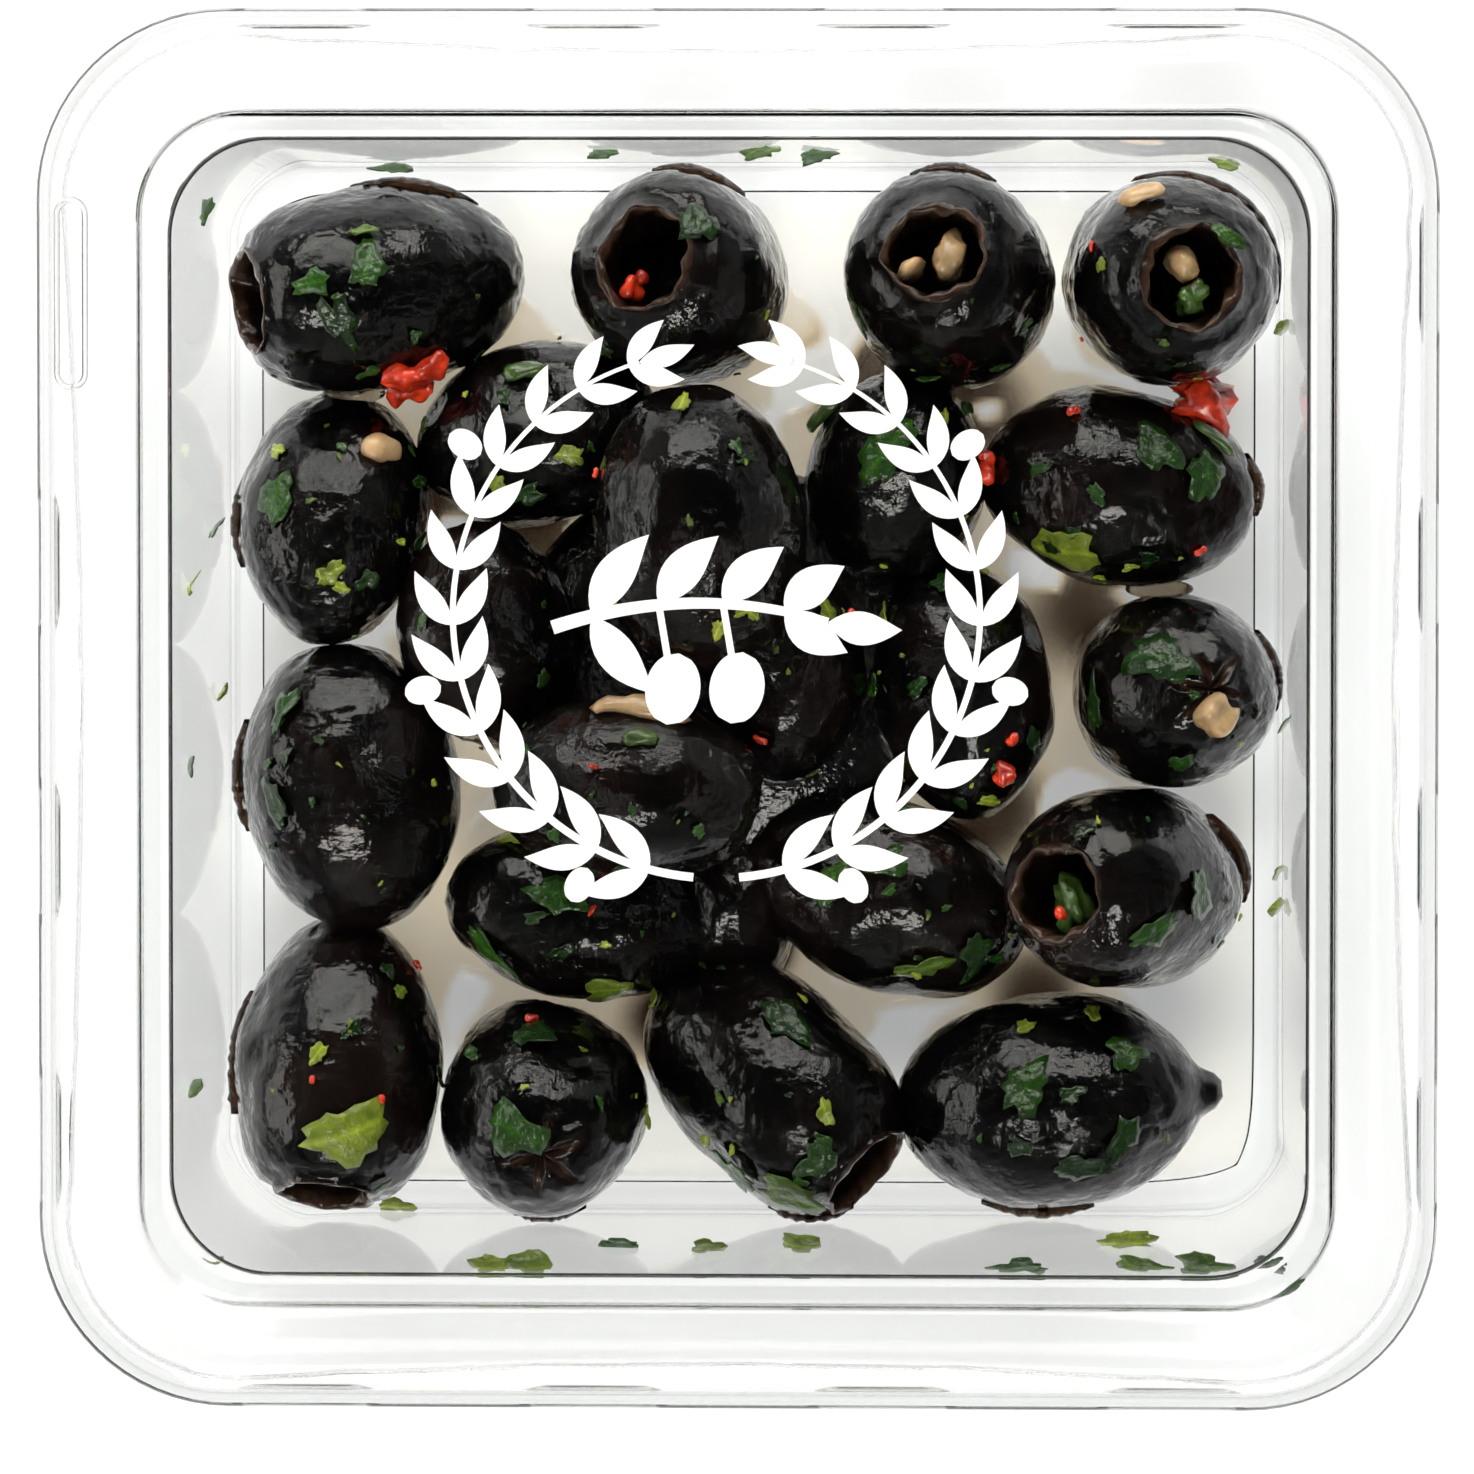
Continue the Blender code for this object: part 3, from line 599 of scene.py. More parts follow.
def eased(rows):
    """The section with its bends rounded: each row that has an ease becomes a quadratic
    curve from that far before it to that far after it, the row being its control point."""
    out = [rows[0][:4]]
    for before, row, after in zip(rows, rows[1:], rows[2:]):
        ease = row[4]
        here = np.array(row[:4])
        if ease == 0:
            out.append(here)
            continue
        ends = []
        for other in (before, after):
            way = np.array(other[:4]) - here
            length = math.hypot(way[0], way[2])
            ends.append(here + way * min(ease / length, 0.45))
        t = np.linspace(0, 1, EASE_STEPS)[:, None]
        out.extend((1 - t) ** 2 * ends[0] + 2 * t * (1 - t) * here + t**2 * ends[1])
    out.append(rows[-1][:4])
    return np.array(out)


def square_rings(section, corner_steps, side_steps):
    """Rounded squares, one for each section row, as an array of rows by columns by 3. A
    corner is a quarter turn, and a side draws in by bow times one less its squared share."""
    half, corner, height, bow = section.T[:, :, None]
    reach = half - corner
    angle = np.linspace(0, np.pi / 2, corner_steps + 1)[None]
    share = np.linspace(1, -1, side_steps + 1)[None, 1:-1]
    x = np.concatenate([reach + corner * np.cos(angle), share * reach], axis=1)
    y = np.concatenate([reach + corner * np.sin(angle), half - bow * (1 - share**2)], axis=1)
    quarters = [(x, y), (-y, x), (-x, -y), (y, -x)]
    x = np.concatenate([q[0] for q in quarters], axis=1)
    y = np.concatenate([q[1] for q in quarters], axis=1)
    return np.stack([x, y, np.broadcast_to(height, x.shape)], axis=-1)


def side_frame(side):
    """Outward normal and direction along a side, counted anticlockwise from +X."""
    angle = side * math.pi / 2
    normal = np.array([math.cos(angle), math.sin(angle), 0.0])
    along = np.array([-math.sin(angle), math.cos(angle), 0.0])
    return normal, along


def add_lugs(points, length, reach):
    """Presses rounded lugs into the skirt's inner face: a point moves in by reach times a
    smooth step of one less its squared share of the lug's half length, between two heights."""
    height = points[..., 2]
    rise = smooth_step((height - LUG_LOW_Z) / LUG_EASE + 1)
    rise = rise * smooth_step((LUG_HIGH_Z - height) / LUG_EASE + 1)
    for side in range(4):
        normal, along = side_frame(side)
        on_wall = np.abs(points @ normal - SKIRT_IN_HALF) < 0.02
        place = points @ along
        for spot in LUG_PLACES:
            if side == BARE_SIDE and spot == LUG_PLACES[0]:
                continue
            share = np.clip(1 - (2 * (place - spot) / length) ** 2, 0, 1)
            points = points - (on_wall * rise * reach * smooth_step(1.8 * share))[..., None] * normal
    return points


def clear_plastic(name, look, density, clear=1.0):
    """Clear plastic that bends sight, darkens edge on and lets lamps through."""
    made, shader = new_material(
        name, Base_Color=(*look.tint, 1), Roughness=look.roughness, IOR=look.index, Transmission_Weight=clear
    )
    haze = node_in(made, "ShaderNodeVolumeAbsorption")
    haze.inputs["Color"].default_value = (*look.edge, 1)
    haze.inputs["Density"].default_value = density
    wire(made, haze.outputs["Volume"], made.node_tree.nodes["Material Output"].inputs["Volume"])
    let_lamps_through(made, shader, (0.975, 0.98, 0.98, 1))
    return made


# Materials

def new_material(name, **settings):
    """A material and its Principled shader, with settings by socket name, _ for a space."""
    made = bpy.data.materials.new(name)
    made.use_nodes = True
    shader = made.node_tree.nodes["Principled BSDF"]
    for key, value in settings.items():
        shader.inputs[key.replace("_", " ")].default_value = value
    return made, shader


def node_in(made, kind, **settings):
    """A new node with plain settings."""
    node = made.node_tree.nodes.new(kind)
    for key, value in settings.items():
        setattr(node, key, value)
    return node


def wire(made, source, target):
    """Joins two sockets of a material or world."""
    made.node_tree.links.new(source, target)


def noise(made, scale, detail=2.0):
    """Noise on Object coordinates."""
    place = node_in(made, "ShaderNodeTexCoord")
    node = node_in(made, "ShaderNodeTexNoise")
    node.inputs["Scale"].default_value = scale
    node.inputs["Detail"].default_value = detail
    wire(made, place.outputs["Object"], node.inputs["Vector"])
    return node.outputs["Fac"]


def ramp(made, source, stops):
    """Colours along a value, from (place, colour) stops."""
    node = node_in(made, "ShaderNodeValToRGB")
    bar = node.color_ramp
    while len(bar.elements) < len(stops):
        bar.elements.new(0.5)
    for element, (place, colour) in zip(bar.elements, stops):
        element.position = place
        element.color = (*colour[:3], 1)
    wire(made, source, node.inputs["Fac"])
    return node.outputs["Color"]


def level(made, source, low, high, out_low=0.0, out_high=1.0):
    """A value's range from low to high carried to another range."""
    node = node_in(made, "ShaderNodeMapRange")
    for key, value in zip(("From Min", "From Max", "To Min", "To Max"), (low, high, out_low, out_high)):
        node.inputs[key].default_value = value
    wire(made, source, node.inputs["Value"])
    return node.outputs["Result"]


def blend(made, share, first, second, kind="MIX"):
    """Two colours mixed by a share. Each is a socket or a plain colour."""
    node = node_in(made, "ShaderNodeMix", data_type="RGBA", blend_type=kind)
    for socket, value in (("Factor", share), ("A", first), ("B", second)):
        target = next(s for s in node.inputs if s.name == socket and s.enabled)
        if isinstance(value, bpy.types.NodeSocket):
            wire(made, value, target)
        else:
            target.default_value = value if socket == "Factor" else (*value[:3], 1)
    return next(s for s in node.outputs if s.enabled)


def own_value(made, name):
    """A float attribute of the piece's points."""
    node = node_in(made, "ShaderNodeAttribute", attribute_name=name)
    return node.outputs["Fac"]


def add_bump(made, shader, layers):
    """Bumps of the surface and its coat on Object-coordinate noise, from (scale, detail,
    depth in metres) rows."""
    below = None
    for scale, detail, depth in layers:
        node = node_in(made, "ShaderNodeBump")
        node.inputs["Distance"].default_value = depth
        wire(made, noise(made, scale, detail), node.inputs["Height"])
        if below is not None:
            wire(made, below, node.inputs["Normal"])
        below = node.outputs["Normal"]
    wire(made, below, shader.inputs["Normal"])
    wire(made, below, shader.inputs["Coat Normal"])


def let_lamps_through(made, shader, shade):
    """Shadow rays pass the surface, dimmed by shade, and all others meet the shader."""
    path = node_in(made, "ShaderNodeLightPath")
    clear = node_in(made, "ShaderNodeBsdfTransparent")
    clear.inputs["Color"].default_value = shade
    mixer = node_in(made, "ShaderNodeMixShader")
    wire(made, path.outputs["Is Shadow Ray"], mixer.inputs[0])
    wire(made, shader.outputs["BSDF"], mixer.inputs[1])
    wire(made, clear.outputs["BSDF"], mixer.inputs[2])
    wire(made, mixer.outputs["Shader"], made.node_tree.nodes["Material Output"].inputs["Surface"])


def skin_material(look):
    """Near-black skin going brown in patches, brown flesh at the holes' lips, painted shade that darkens the
    holes deep inside to near black, and a wet coat.
    """
    made, shader = new_material(
        "wet_olive_skin", Specular_IOR_Level=0.06, Roughness=0.3,
        Coat_Weight=1.0, Coat_Roughness=0.02, Coat_IOR=1.47,
    )
    patch = level(made, noise(made, 130.0, 3.0), 0.42, 0.72)
    tone = blend(made, own_value(made, "tone"), look.skin, look.brown)
    skin = blend(made, patch, look.skin, tone)
    fibre = level(made, noise(made, 900.0, 2.0), 0.35, 0.7)
    flesh = blend(made, fibre, [0.55 * c for c in look.flesh], [1.7 * c for c in look.flesh])
    open_end = own_value(made, "flesh")
    lip = blend(made, level(made, open_end, 0.0, 0.5), skin, flesh)
    # Painted shade: down in the holes the flesh colour drops to 0.12 of itself, where shade falls in the
    # recess
    deep = blend(made, level(made, open_end, 0.5, 1.0), lip, [0.12 * c for c in look.flesh])
    wire(made, deep, shader.inputs["Base Color"])
    wire(made, level(made, open_end, 0.5, 1.0, 1.0, 0.25), shader.inputs["Coat Weight"])
    add_bump(made, shader, [(300.0, 2.0, 0.00034), (1100.0, 2.0, 0.00012)])
    return made


def leaf_material(look):
    """Leaf greens from dark to yellow by the scrap, with paler veins and an oily gloss."""
    made, shader = new_material(
        "oiled_herb_leaf", Specular_IOR_Level=0.15, Roughness=0.35, Coat_Weight=0.9, Coat_Roughness=0.03
    )
    stops = [(0.0, look.dark_leaf), (0.45, look.leaf), (0.8, look.pale_leaf), (1.0, look.pale_leaf)]
    green = ramp(made, own_value(made, "shade"), stops)
    vein = ramp(made, own_value(made, "vein"), [(0.0, (1.9, 1.8, 1.5)), (0.30, (1.0, 1.0, 1.0))])
    mottle = level(made, noise(made, 700.0, 3.0), 0.3, 0.75)
    spotted = blend(made, mottle, (0.62, 0.66, 0.55), (1.3, 1.25, 1.1))
    veined = blend(made, 1.0, green, vein, "MULTIPLY")
    wire(made, blend(made, 1.0, veined, spotted, "MULTIPLY"), shader.inputs["Base Color"])
    add_bump(made, shader, [(800.0, 3.0, 0.0004)])
    return made


def food_material(name, dark, light, scale):
    """Soft oiled food whose colour wanders between two by noise, with light going into it."""
    made, shader = new_material(
        name, Roughness=0.3, Coat_Weight=0.8, Coat_Roughness=0.06,
        Subsurface_Weight=0.25, Subsurface_Scale=0.001,
    )
    share = level(made, noise(made, scale, 3.0), 0.35, 0.7)
    wire(made, blend(made, share, dark, light), shader.inputs["Base Color"])
    add_bump(made, shader, [(scale * 1.5, 3.0, 0.0001)])
    return made


def oil_material(name, look):
    """Clear oil, pale where thin and brown where thick, by the piece's own depth value, which also carries
    painted shade in the heap's gaps, towards the middle and where olives meet the walls.
    """
    made, shader = new_material(name, Roughness=0.0, IOR=1.47, Transmission_Weight=1.0)
    stops = [(0.0, look.amber), (0.35, look.mid), (0.8, look.brown)]
    colour = ramp(made, own_value(made, "depth"), stops)
    wire(made, colour, shader.inputs["Base Color"])
    let_lamps_through(made, shader, (0.97, 0.93, 0.85, 1))
    return made


def ink_material(look):
    """White ink, thinner in small specks, with a faint painted glow though it is no lamp."""
    # Painted glow: the ink gives off a little light of its own
    made, shader = new_material(
        "white_ink_painted_glow", Roughness=0.45, Emission_Color=(1, 1, 1, 1), Emission_Strength=0.35
    )
    speck = level(made, noise(made, 1400.0, 3.0), 0.62, 0.8)
    wire(made, blend(made, speck, look.white, [0.86 * c for c in look.white]), shader.inputs["Base Color"])
    return made


# Olives

def placed(name):
    """Centre, axes and half sizes of an olive, and the power of its blunter end."""
    x, y, length, width, heading, lift, z, end = OLIVES[name]
    turn = Matrix.Rotation(math.radians(heading), 3, "Z") @ Matrix.Rotation(-math.radians(lift), 3, "Y")
    turn = np.array(turn)
    half = np.array([length, width, width]) / 2
    if z is None:
        z = REST_Z + math.sqrt(float(((turn[2] * half) ** 2).sum()))
    return np.array([x, y, z]), turn, half, PIT_FULLNESS if end == "pit" else 2.0


def fullness(local, half, power):
    """1 on an olive's surface, less inside: the share of the half length to a power, which
    is 2 towards the closed tip, and the squared share of the half width."""
    share = np.abs(local[..., 0] / half[..., 0])
    used = np.where(local[..., 0] > 0, power, 2.0)
    return share**used + (local[..., 1] ** 2 + local[..., 2] ** 2) / half[..., 1] ** 2


def surface_normal(local, half, power):
    """The direction in which fullness grows fastest."""
    share = local[..., 0] / half[..., 0]
    used = np.where(share > 0, power, 2.0)
    slope = used * np.sign(share) * np.abs(share) ** (used - 1) / half[..., 0]
    across = 2 * local[..., 1:] / half[..., 1:2] ** 2
    normal = np.concatenate([slope[..., None], across], axis=-1)
    return normal / np.linalg.norm(normal, axis=-1, keepdims=True)


def body_outline(length, width, end):
    """(along, out, flesh) rows from the closed tip: an ellipse to a plain end, or to a
    torn lip, down a tapering hole and across its bottom."""
    a = length / 2
    b = width / 2
    if end != "pit":
        angle = np.linspace(0, np.pi, BODY_ROWS + LIP_ROWS)
        along = -a * np.cos(angle)
        out = b * np.sin(angle)
        if end == "nipple":
            tip = smooth_step((angle - (1 - NIPPLE_SHARE) * np.pi) / (NIPPLE_SHARE * np.pi))
            along = along + NIPPLE_LENGTH * tip**2
            out = np.maximum(out, NIPPLE_RADIUS * np.sqrt(1 - tip**4) * (tip > 0.02))
        return along, out, np.zeros_like(along)
    rim = PIT_RADIUS + PIT_RIM
    face = a * (1 - (rim / b) ** 2) ** (1 / PIT_FULLNESS)
    angle = np.linspace(0, math.acos(-(face - LIP_START) / a), BODY_ROWS)
    along = -a * np.cos(angle)
    power = np.where(along > 0, PIT_FULLNESS, 2.0)
    out = b * np.sqrt(1 - np.abs(along / a) ** power)
    roll = np.linspace(0, np.pi, LIP_ROWS)
    lip_along = face - LIP_SET + LIP_ROLL * np.sin(roll)
    lip_out = PIT_RADIUS + PIT_RIM / 2 * (1 + np.cos(roll))
    deep = np.linspace(0, 1, HOLE_ROWS + 1)[1:]
    hole_along = face - LIP_SET - PIT_DEPTH * deep
    hole_out = PIT_RADIUS * (1 - (1 - PIT_TAPER) * deep)
    along = np.concatenate([along, lip_along, hole_along, [hole_along[-1] - 0.6]])
    out = np.concatenate([out, lip_out, hole_out, [0.0]])
    rim_flesh = 0.5 * smooth_step(roll / np.pi * 2.2 - 0.3)
    flesh = np.concatenate([0 * angle, rim_flesh, np.ones(HOLE_ROWS + 1)])
    return along, out, flesh


def star_cut(local):
    """Depth of three cuts that cross at the open end: a narrow bell across each line,
    fading out from the middle."""
    y = local[..., 1]
    z = local[..., 2]
    depth = np.zeros_like(y)
    for turn in (STAR_TURN + k * math.pi / 3 for k in range(3)):
        off = y * math.sin(turn) - z * math.cos(turn)
        depth = np.maximum(depth, np.exp(-((off / STAR_CUT) ** 2)))
    near = smooth_step(1.3 - np.hypot(y, z) / STAR_RADIUS) * (local[..., 0] > 0)
    return depth * near


def olive_mesh(name, index, look):
    """An olive's outline turned about its own axis, then pressed in by broad hollows, fine
    wrinkles, a few dents and, at a star end, its cuts."""
    _, _, length, width, _, _, _, end = OLIVES[name]
    centre, turn, half, power = placed(name)
    along, out, flesh = body_outline(length, width, end)
    around = round_turn(look.around)[None]
    torn = np.minimum(2 * flesh, 1)[:, None]
    lobes = 1 + torn * 0.09 * np.sin(2 * around + index)
    lobes = lobes + torn * 0.05 * np.sin(5 * around + 2.0 * index + along[:, None])
    lobes = lobes + torn * 0.04 * np.sin(11 * around + 3.0 * index + 2.0 * along[:, None])
    spread = out[:, None] * lobes
    local = np.stack([along[:, None] + 0 * lobes, spread * np.cos(around), spread * np.sin(around)], axis=-1)
    normal = surface_normal(local, half, power)
    skin = 1 - flesh[:, None]
    press = look.uneven / MM * (0.5 + 0.5 * np.tanh(waves(local, 100 + index, HOLLOW_SIZE)))
    stretched = local * np.array([WRINKLE_RUN, 1.0, 1.0])
    press = press + look.wrinkle / MM * np.abs(waves(stretched, 200 + index, WRINKLE_SIZE))
    draw = np.random.default_rng(300 + index)
    for _ in range(DENTS):
        spot = draw.normal(size=3)
        spot = spot / np.linalg.norm(spot) * half
        size = draw.uniform(*DENT_SIZES)
        gap = np.linalg.norm(local - spot, axis=-1)
        press = press + look.dent / MM * draw.uniform(0.3, 1.0) * np.exp(-((gap / size) ** 4))
    cut = star_cut(local) if end == "star" else np.zeros_like(press)
    local = local - normal * (press * skin + 1.1 * cut)[..., None]
    points = centre + local @ turn.T
    values = {
        # Star cuts count as open end, so their crevices get flesh colour and the painted shade of the holes
        "flesh": np.clip(np.broadcast_to(flesh[:, None], cut.shape) + 0.9 * cut, 0, 1).ravel(),
        "tone": np.full(points.size // 3, draw.uniform(0.0, 1.0)),
    }
    return points, grid_faces(*points.shape[:2]), values


def core_mesh():
    """A low mound under the middle of the heap: a sphere stretched to three half sizes."""
    points = np.array(CORE_CENTRE) + ball(25, 48, CORE_HALF)
    return points, grid_faces(*points.shape[:2]), {"flesh": 0.0, "tone": 0.3}


# Where toppings lie

def heights(name, x, y):
    """Height of an olive's top above each x, y, or minus infinity beside it: the highest of
    many levels at which fullness is still under 1, then one straight step to where it is 1."""
    centre, turn, half, power = placed(name)
    levels = np.linspace(-14.5, 14.5, 117)
    flat = np.stack([x - centre[0], y - centre[1]], axis=-1)
    over = np.repeat(flat[:, None], len(levels), axis=1)
    offset = np.concatenate([over, np.tile(levels[None, :, None], (len(x), 1, 1))], axis=-1)
    value = fullness(offset @ turn, half, power)
    inside = value < 1
    last = len(levels) - 1 - np.argmax(inside[:, ::-1], axis=1)
    last = np.minimum(last, len(levels) - 2)
    rows = np.arange(len(x))
    below = value[rows, last]
    above = value[rows, last + 1]
    share = np.clip((1 - below) / np.maximum(above - below, 1e-9), 0, 1)
    found = centre[2] + levels[last] + share * (levels[1] - levels[0])
    return np.where(inside.any(axis=1), found, -np.inf)


def highest(x, y):
    """Height of the heap above each x, y, and which olive that is."""
    stack = np.array([heights(name, x, y) for name in OLIVES])
    return stack.max(axis=0), stack.argmax(axis=0)


def seats(x, y, turn):
    """A frame on the heap above each x, y: its spot, its two level axes and normal as the
    columns of a matrix, and the olive's own centre, axes, half sizes and power."""
    height, which = highest(x, y)
    held = [placed(name) for name in OLIVES]
    centre, axes, half, power = (np.array([held[i][k] for i in which]) for k in range(4))
    spot = np.stack([x, y, height], axis=-1)
    local = np.einsum("nij,ni->nj", axes, spot - centre)
    normal = np.einsum("nij,nj->ni", axes, surface_normal(local, half, power))
    angle = np.radians(turn)
    way = np.stack([np.cos(angle), np.sin(angle), 0 * angle], axis=-1)
    way = way - normal * (way * normal).sum(axis=-1, keepdims=True)
    way /= np.linalg.norm(way, axis=-1, keepdims=True)
    basis = np.stack([way, np.cross(normal, way), normal], axis=-1)
    return spot, basis, (centre, axes, half, power)


def cling(points, held, lift):
    """Points drawn onto the olives along the line from each centre, then raised along the
    normal by lift. Newton's steps find the share of that line at which fullness is 1."""
    centre, axes, half, power = held
    half = half[:, None, None]
    power = power[:, None, None]
    local = np.einsum("nij,nabi->nabj", axes, points - centre[:, None, None])
    share = np.ones(local.shape[:3])
    used = np.where(local[..., 0] > 0, power, 2.0)
    along = np.abs(local[..., 0] / half[..., 0])
    across = (local[..., 1] ** 2 + local[..., 2] ** 2) / half[..., 1] ** 2
    for _ in range(10):
        value = (share * along) ** used + share**2 * across - 1
        slope = used * (share * along) ** used / share + 2 * share * across
        share = np.clip(share - value / np.maximum(slope, 1e-6), 0.2, 5.0)
    local = local * share[..., None]
    normal = surface_normal(local, half, power)
    local = local + normal * lift[..., None]
    return centre[:, None, None] + np.einsum("nij,nabj->nabi", axes, local)


def leaf_patch(length, seed):
    """Flat leaf scraps as arrays of scrap by ring by angle: the outline's reach is a sum of
    sine lobes, with fine teeth, and rings share it evenly out from the middle."""
    draw = np.random.default_rng(seed)
    count = len(length)
    angle = round_turn(LEAF_AROUND)[None]
    reach = 1.0
    for lobes, size in LEAF_LOBES:
        reach = reach + size * draw.uniform(0.4, 1.0, (count, 1)) * np.sin(
            lobes * angle + draw.uniform(0, 2 * np.pi, (count, 1))
        )
    reach = reach * (1 + LEAF_TEETH * draw.uniform(-1, 1, (count, LEAF_AROUND))) * length[:, None] / 2
    squeeze = draw.uniform(*LEAF_WIDTHS, (count, 1, 1))
    ring = np.linspace(0, 1, LEAF_RINGS)[None, :, None]
    u = ring * (reach * np.cos(angle))[:, None]
    v = ring * (reach * np.sin(angle))[:, None] * squeeze
    curl = draw.uniform(0.05, 0.5, (count, 1, 1))
    curl = curl * np.maximum(0, np.sin(angle + draw.uniform(0, 6, (count, 1))))[:, None]
    rise = curl * ring**2 * np.minimum(length, 3.0)[:, None, None] / 3.0 * 2.0
    wide = (length / 2)[:, None, None]
    side_vein = np.abs(np.mod((np.abs(u) - 0.6 * np.abs(v)) / wide * 2.2 + 0.5, 1.0) - 0.5)
    vein = np.minimum(np.abs(v) / wide * 2.5, side_vein * 1.4 + 0.12)
    return u, v, rise, vein


def closed_sheets(upper, lower):
    """Rings from the middle of the upper sheet to its rim and back in under it."""
    return np.concatenate([upper, lower[:, ::-1]], axis=1)


def scrap_mesh(upper, lower, vein, shade):
    """Closed scraps from their two sheets, with each scrap's shade and its veins."""
    points = closed_sheets(upper, lower)
    values = {
        "shade": np.broadcast_to(shade[:, None, None], points.shape[:3]).ravel(),
        "vein": closed_sheets(vein, vein).ravel(),
    }
    return points, many_faces(len(points), 2 * LEAF_RINGS, LEAF_AROUND), values


def leaf_scraps(x, y, length, turn, seed, look, shade):
    """Leaf scraps that cling to the olives below them."""
    spot, basis, held = seats(x, y, turn)
    u, v, rise, vein = leaf_patch(length, seed)
    flat = np.stack([u, v, np.zeros_like(u)], axis=-1)
    points = spot[:, None, None] + np.einsum("nij,nabj->nabi", basis, flat)
    thick = look.thick / MM
    upper = cling(points, held, rise + thick)
    lower = cling(points, held, rise - 0.25 * thick)
    return scrap_mesh(upper, lower, vein, shade)


def wall_scraps(rows, seed, look):
    """Leaf scraps on the inside of the walls, each leaning a little off its wall."""
    rows = np.array(rows)
    x, y, z, length, turn = rows.T
    side = np.where(np.abs(x) > np.abs(y), np.where(x > 0, 0, 2), np.where(y > 0, 1, 3))
    frames = np.array([side_frame(k) for k in side])
    normal = -frames[:, 0]
    along = frames[:, 1]
    up = np.array([0.0, 0.0, 1.0])
    angle = np.radians(turn)[:, None]
    first = np.cos(angle) * along + np.sin(angle) * up
    second = np.cross(normal, first)
    second = second + WALL_TILT * np.sign(second[:, 2:]) * normal
    second /= np.linalg.norm(second, axis=1, keepdims=True)
    spot = np.stack([x, y, z], axis=-1)
    spot = spot - normal * (wall_reach(z) - np.abs((spot * normal).sum(axis=-1)) - 0.2)[:, None]
    u, v, rise, vein = leaf_patch(WALL_SCALE * length, seed)
    thick = look.thick / MM
    flat = u[..., None] * first[:, None, None] + v[..., None] * second[:, None, None]
    sheets = [
        spot[:, None, None] + flat + lift[..., None] * normal[:, None, None]
        for lift in (rise + thick / 2, rise - thick / 2)
    ]
    shade = np.random.default_rng(seed).uniform(0.3, 0.8, len(x))
    return scrap_mesh(*sheets, vein, shade)


def scattered(count, seed, span):
    """Seeded spots that lie on an olive, well up its side and off its open end."""
    draw = np.random.default_rng(seed)
    x = draw.uniform(-span, span, 6 * count)
    y = draw.uniform(-span, span, 6 * count)
    height, _ = highest(x, y)
    good = height > FLAKE_LOWEST
    x = x[good]
    y = y[good]
    spot, _, (centre, axes, _, power) = seats(x, y, 0 * x)
    local = np.einsum("nij,ni->nj", axes, spot - centre)
    mouth = (power > 2) & (local[:, 0] > 0) & (np.hypot(local[:, 1], local[:, 2]) < MOUTH_REACH)
    return x[~mouth][:count], y[~mouth][:count]


def rods(rows, seed, sections=9, around=14, bend=0.045, sink=0.25, lumpy=0.10, ridge=0.0):
    """Rods and lumps on the heap: rings along a length whose width swells as the root of
    one less the fourth power of the share, roughened by waves, and bent down over the olive."""
    table = np.array(rows, dtype=float)
    x, y, length, width, turn = table.T
    spot, basis, _ = seats(x, y, turn)
    share = np.linspace(-1, 1, sections)[None, :, None]
    angle = round_turn(around)[None, None]
    swell = np.sqrt(np.clip(1 - share**4, 0, 1)) * (1 + ridge * np.sin(3 * angle + 4 * share))
    u = share * (length / 2)[:, None, None] + 0 * angle
    v = (width / 2)[:, None, None] * swell * np.cos(angle)
    w = (width / 2)[:, None, None] * swell * np.sin(angle) * 0.8
    local = np.stack([u, v, w], axis=-1)
    rough = waves(local + np.arange(len(x))[:, None, None, None] * 9.0, seed, 1.8)
    local[..., 1:] *= (1 + lumpy * rough)[..., None]
    local[..., 2] += sink * width[:, None, None] - bend * (local[..., 0] ** 2 + local[..., 1] ** 2)
    points = spot[:, None, None] + np.einsum("nij,nabj->nabi", basis, local)
    return points, many_faces(len(x), sections, around), {}


def pit_lumps(rows, lumpy=0.10):
    """Lumps that lie in open ends, as short rods along the hole, off its middle and sunk in it."""
    parts = []
    for index, (name, length, width, height, turn, aside, sunk) in enumerate(rows):
        centre, axes, half, _ = placed(name)
        share = np.linspace(-1, 1, 11)[:, None]
        angle = round_turn(18)[None]
        swell = np.sqrt(np.clip(1 - share**4, 0, 1))
        u = share * height / 2 + 0 * angle
        v = length / 2 * swell * np.cos(angle)
        w = width / 2 * swell * np.sin(angle)
        local = np.stack([u, *turned(v, w, turn)], axis=-1)
        local *= (1 + lumpy * waves(local, 700 + index, 1.6))[..., None]
        local += np.array([half[0] - sunk, aside, 0.0])
        parts.append((centre + local @ axes.T, grid_faces(11, 18), {}))
    return joined(parts)


# Oil

def gap_to_olives(x, y, z):
    """About how far each point is from the nearest olive's surface."""
    best = np.full(x.shape, np.inf)
    for name in OLIVES:
        centre, turn, half, power = placed(name)
        offset = np.stack([x - centre[0], y - centre[1], np.full_like(x, z - centre[2])], axis=-1)
        value = fullness(offset @ turn, half, power)
        best = np.minimum(best, (np.sqrt(value) - 1) * half[1])
    return best


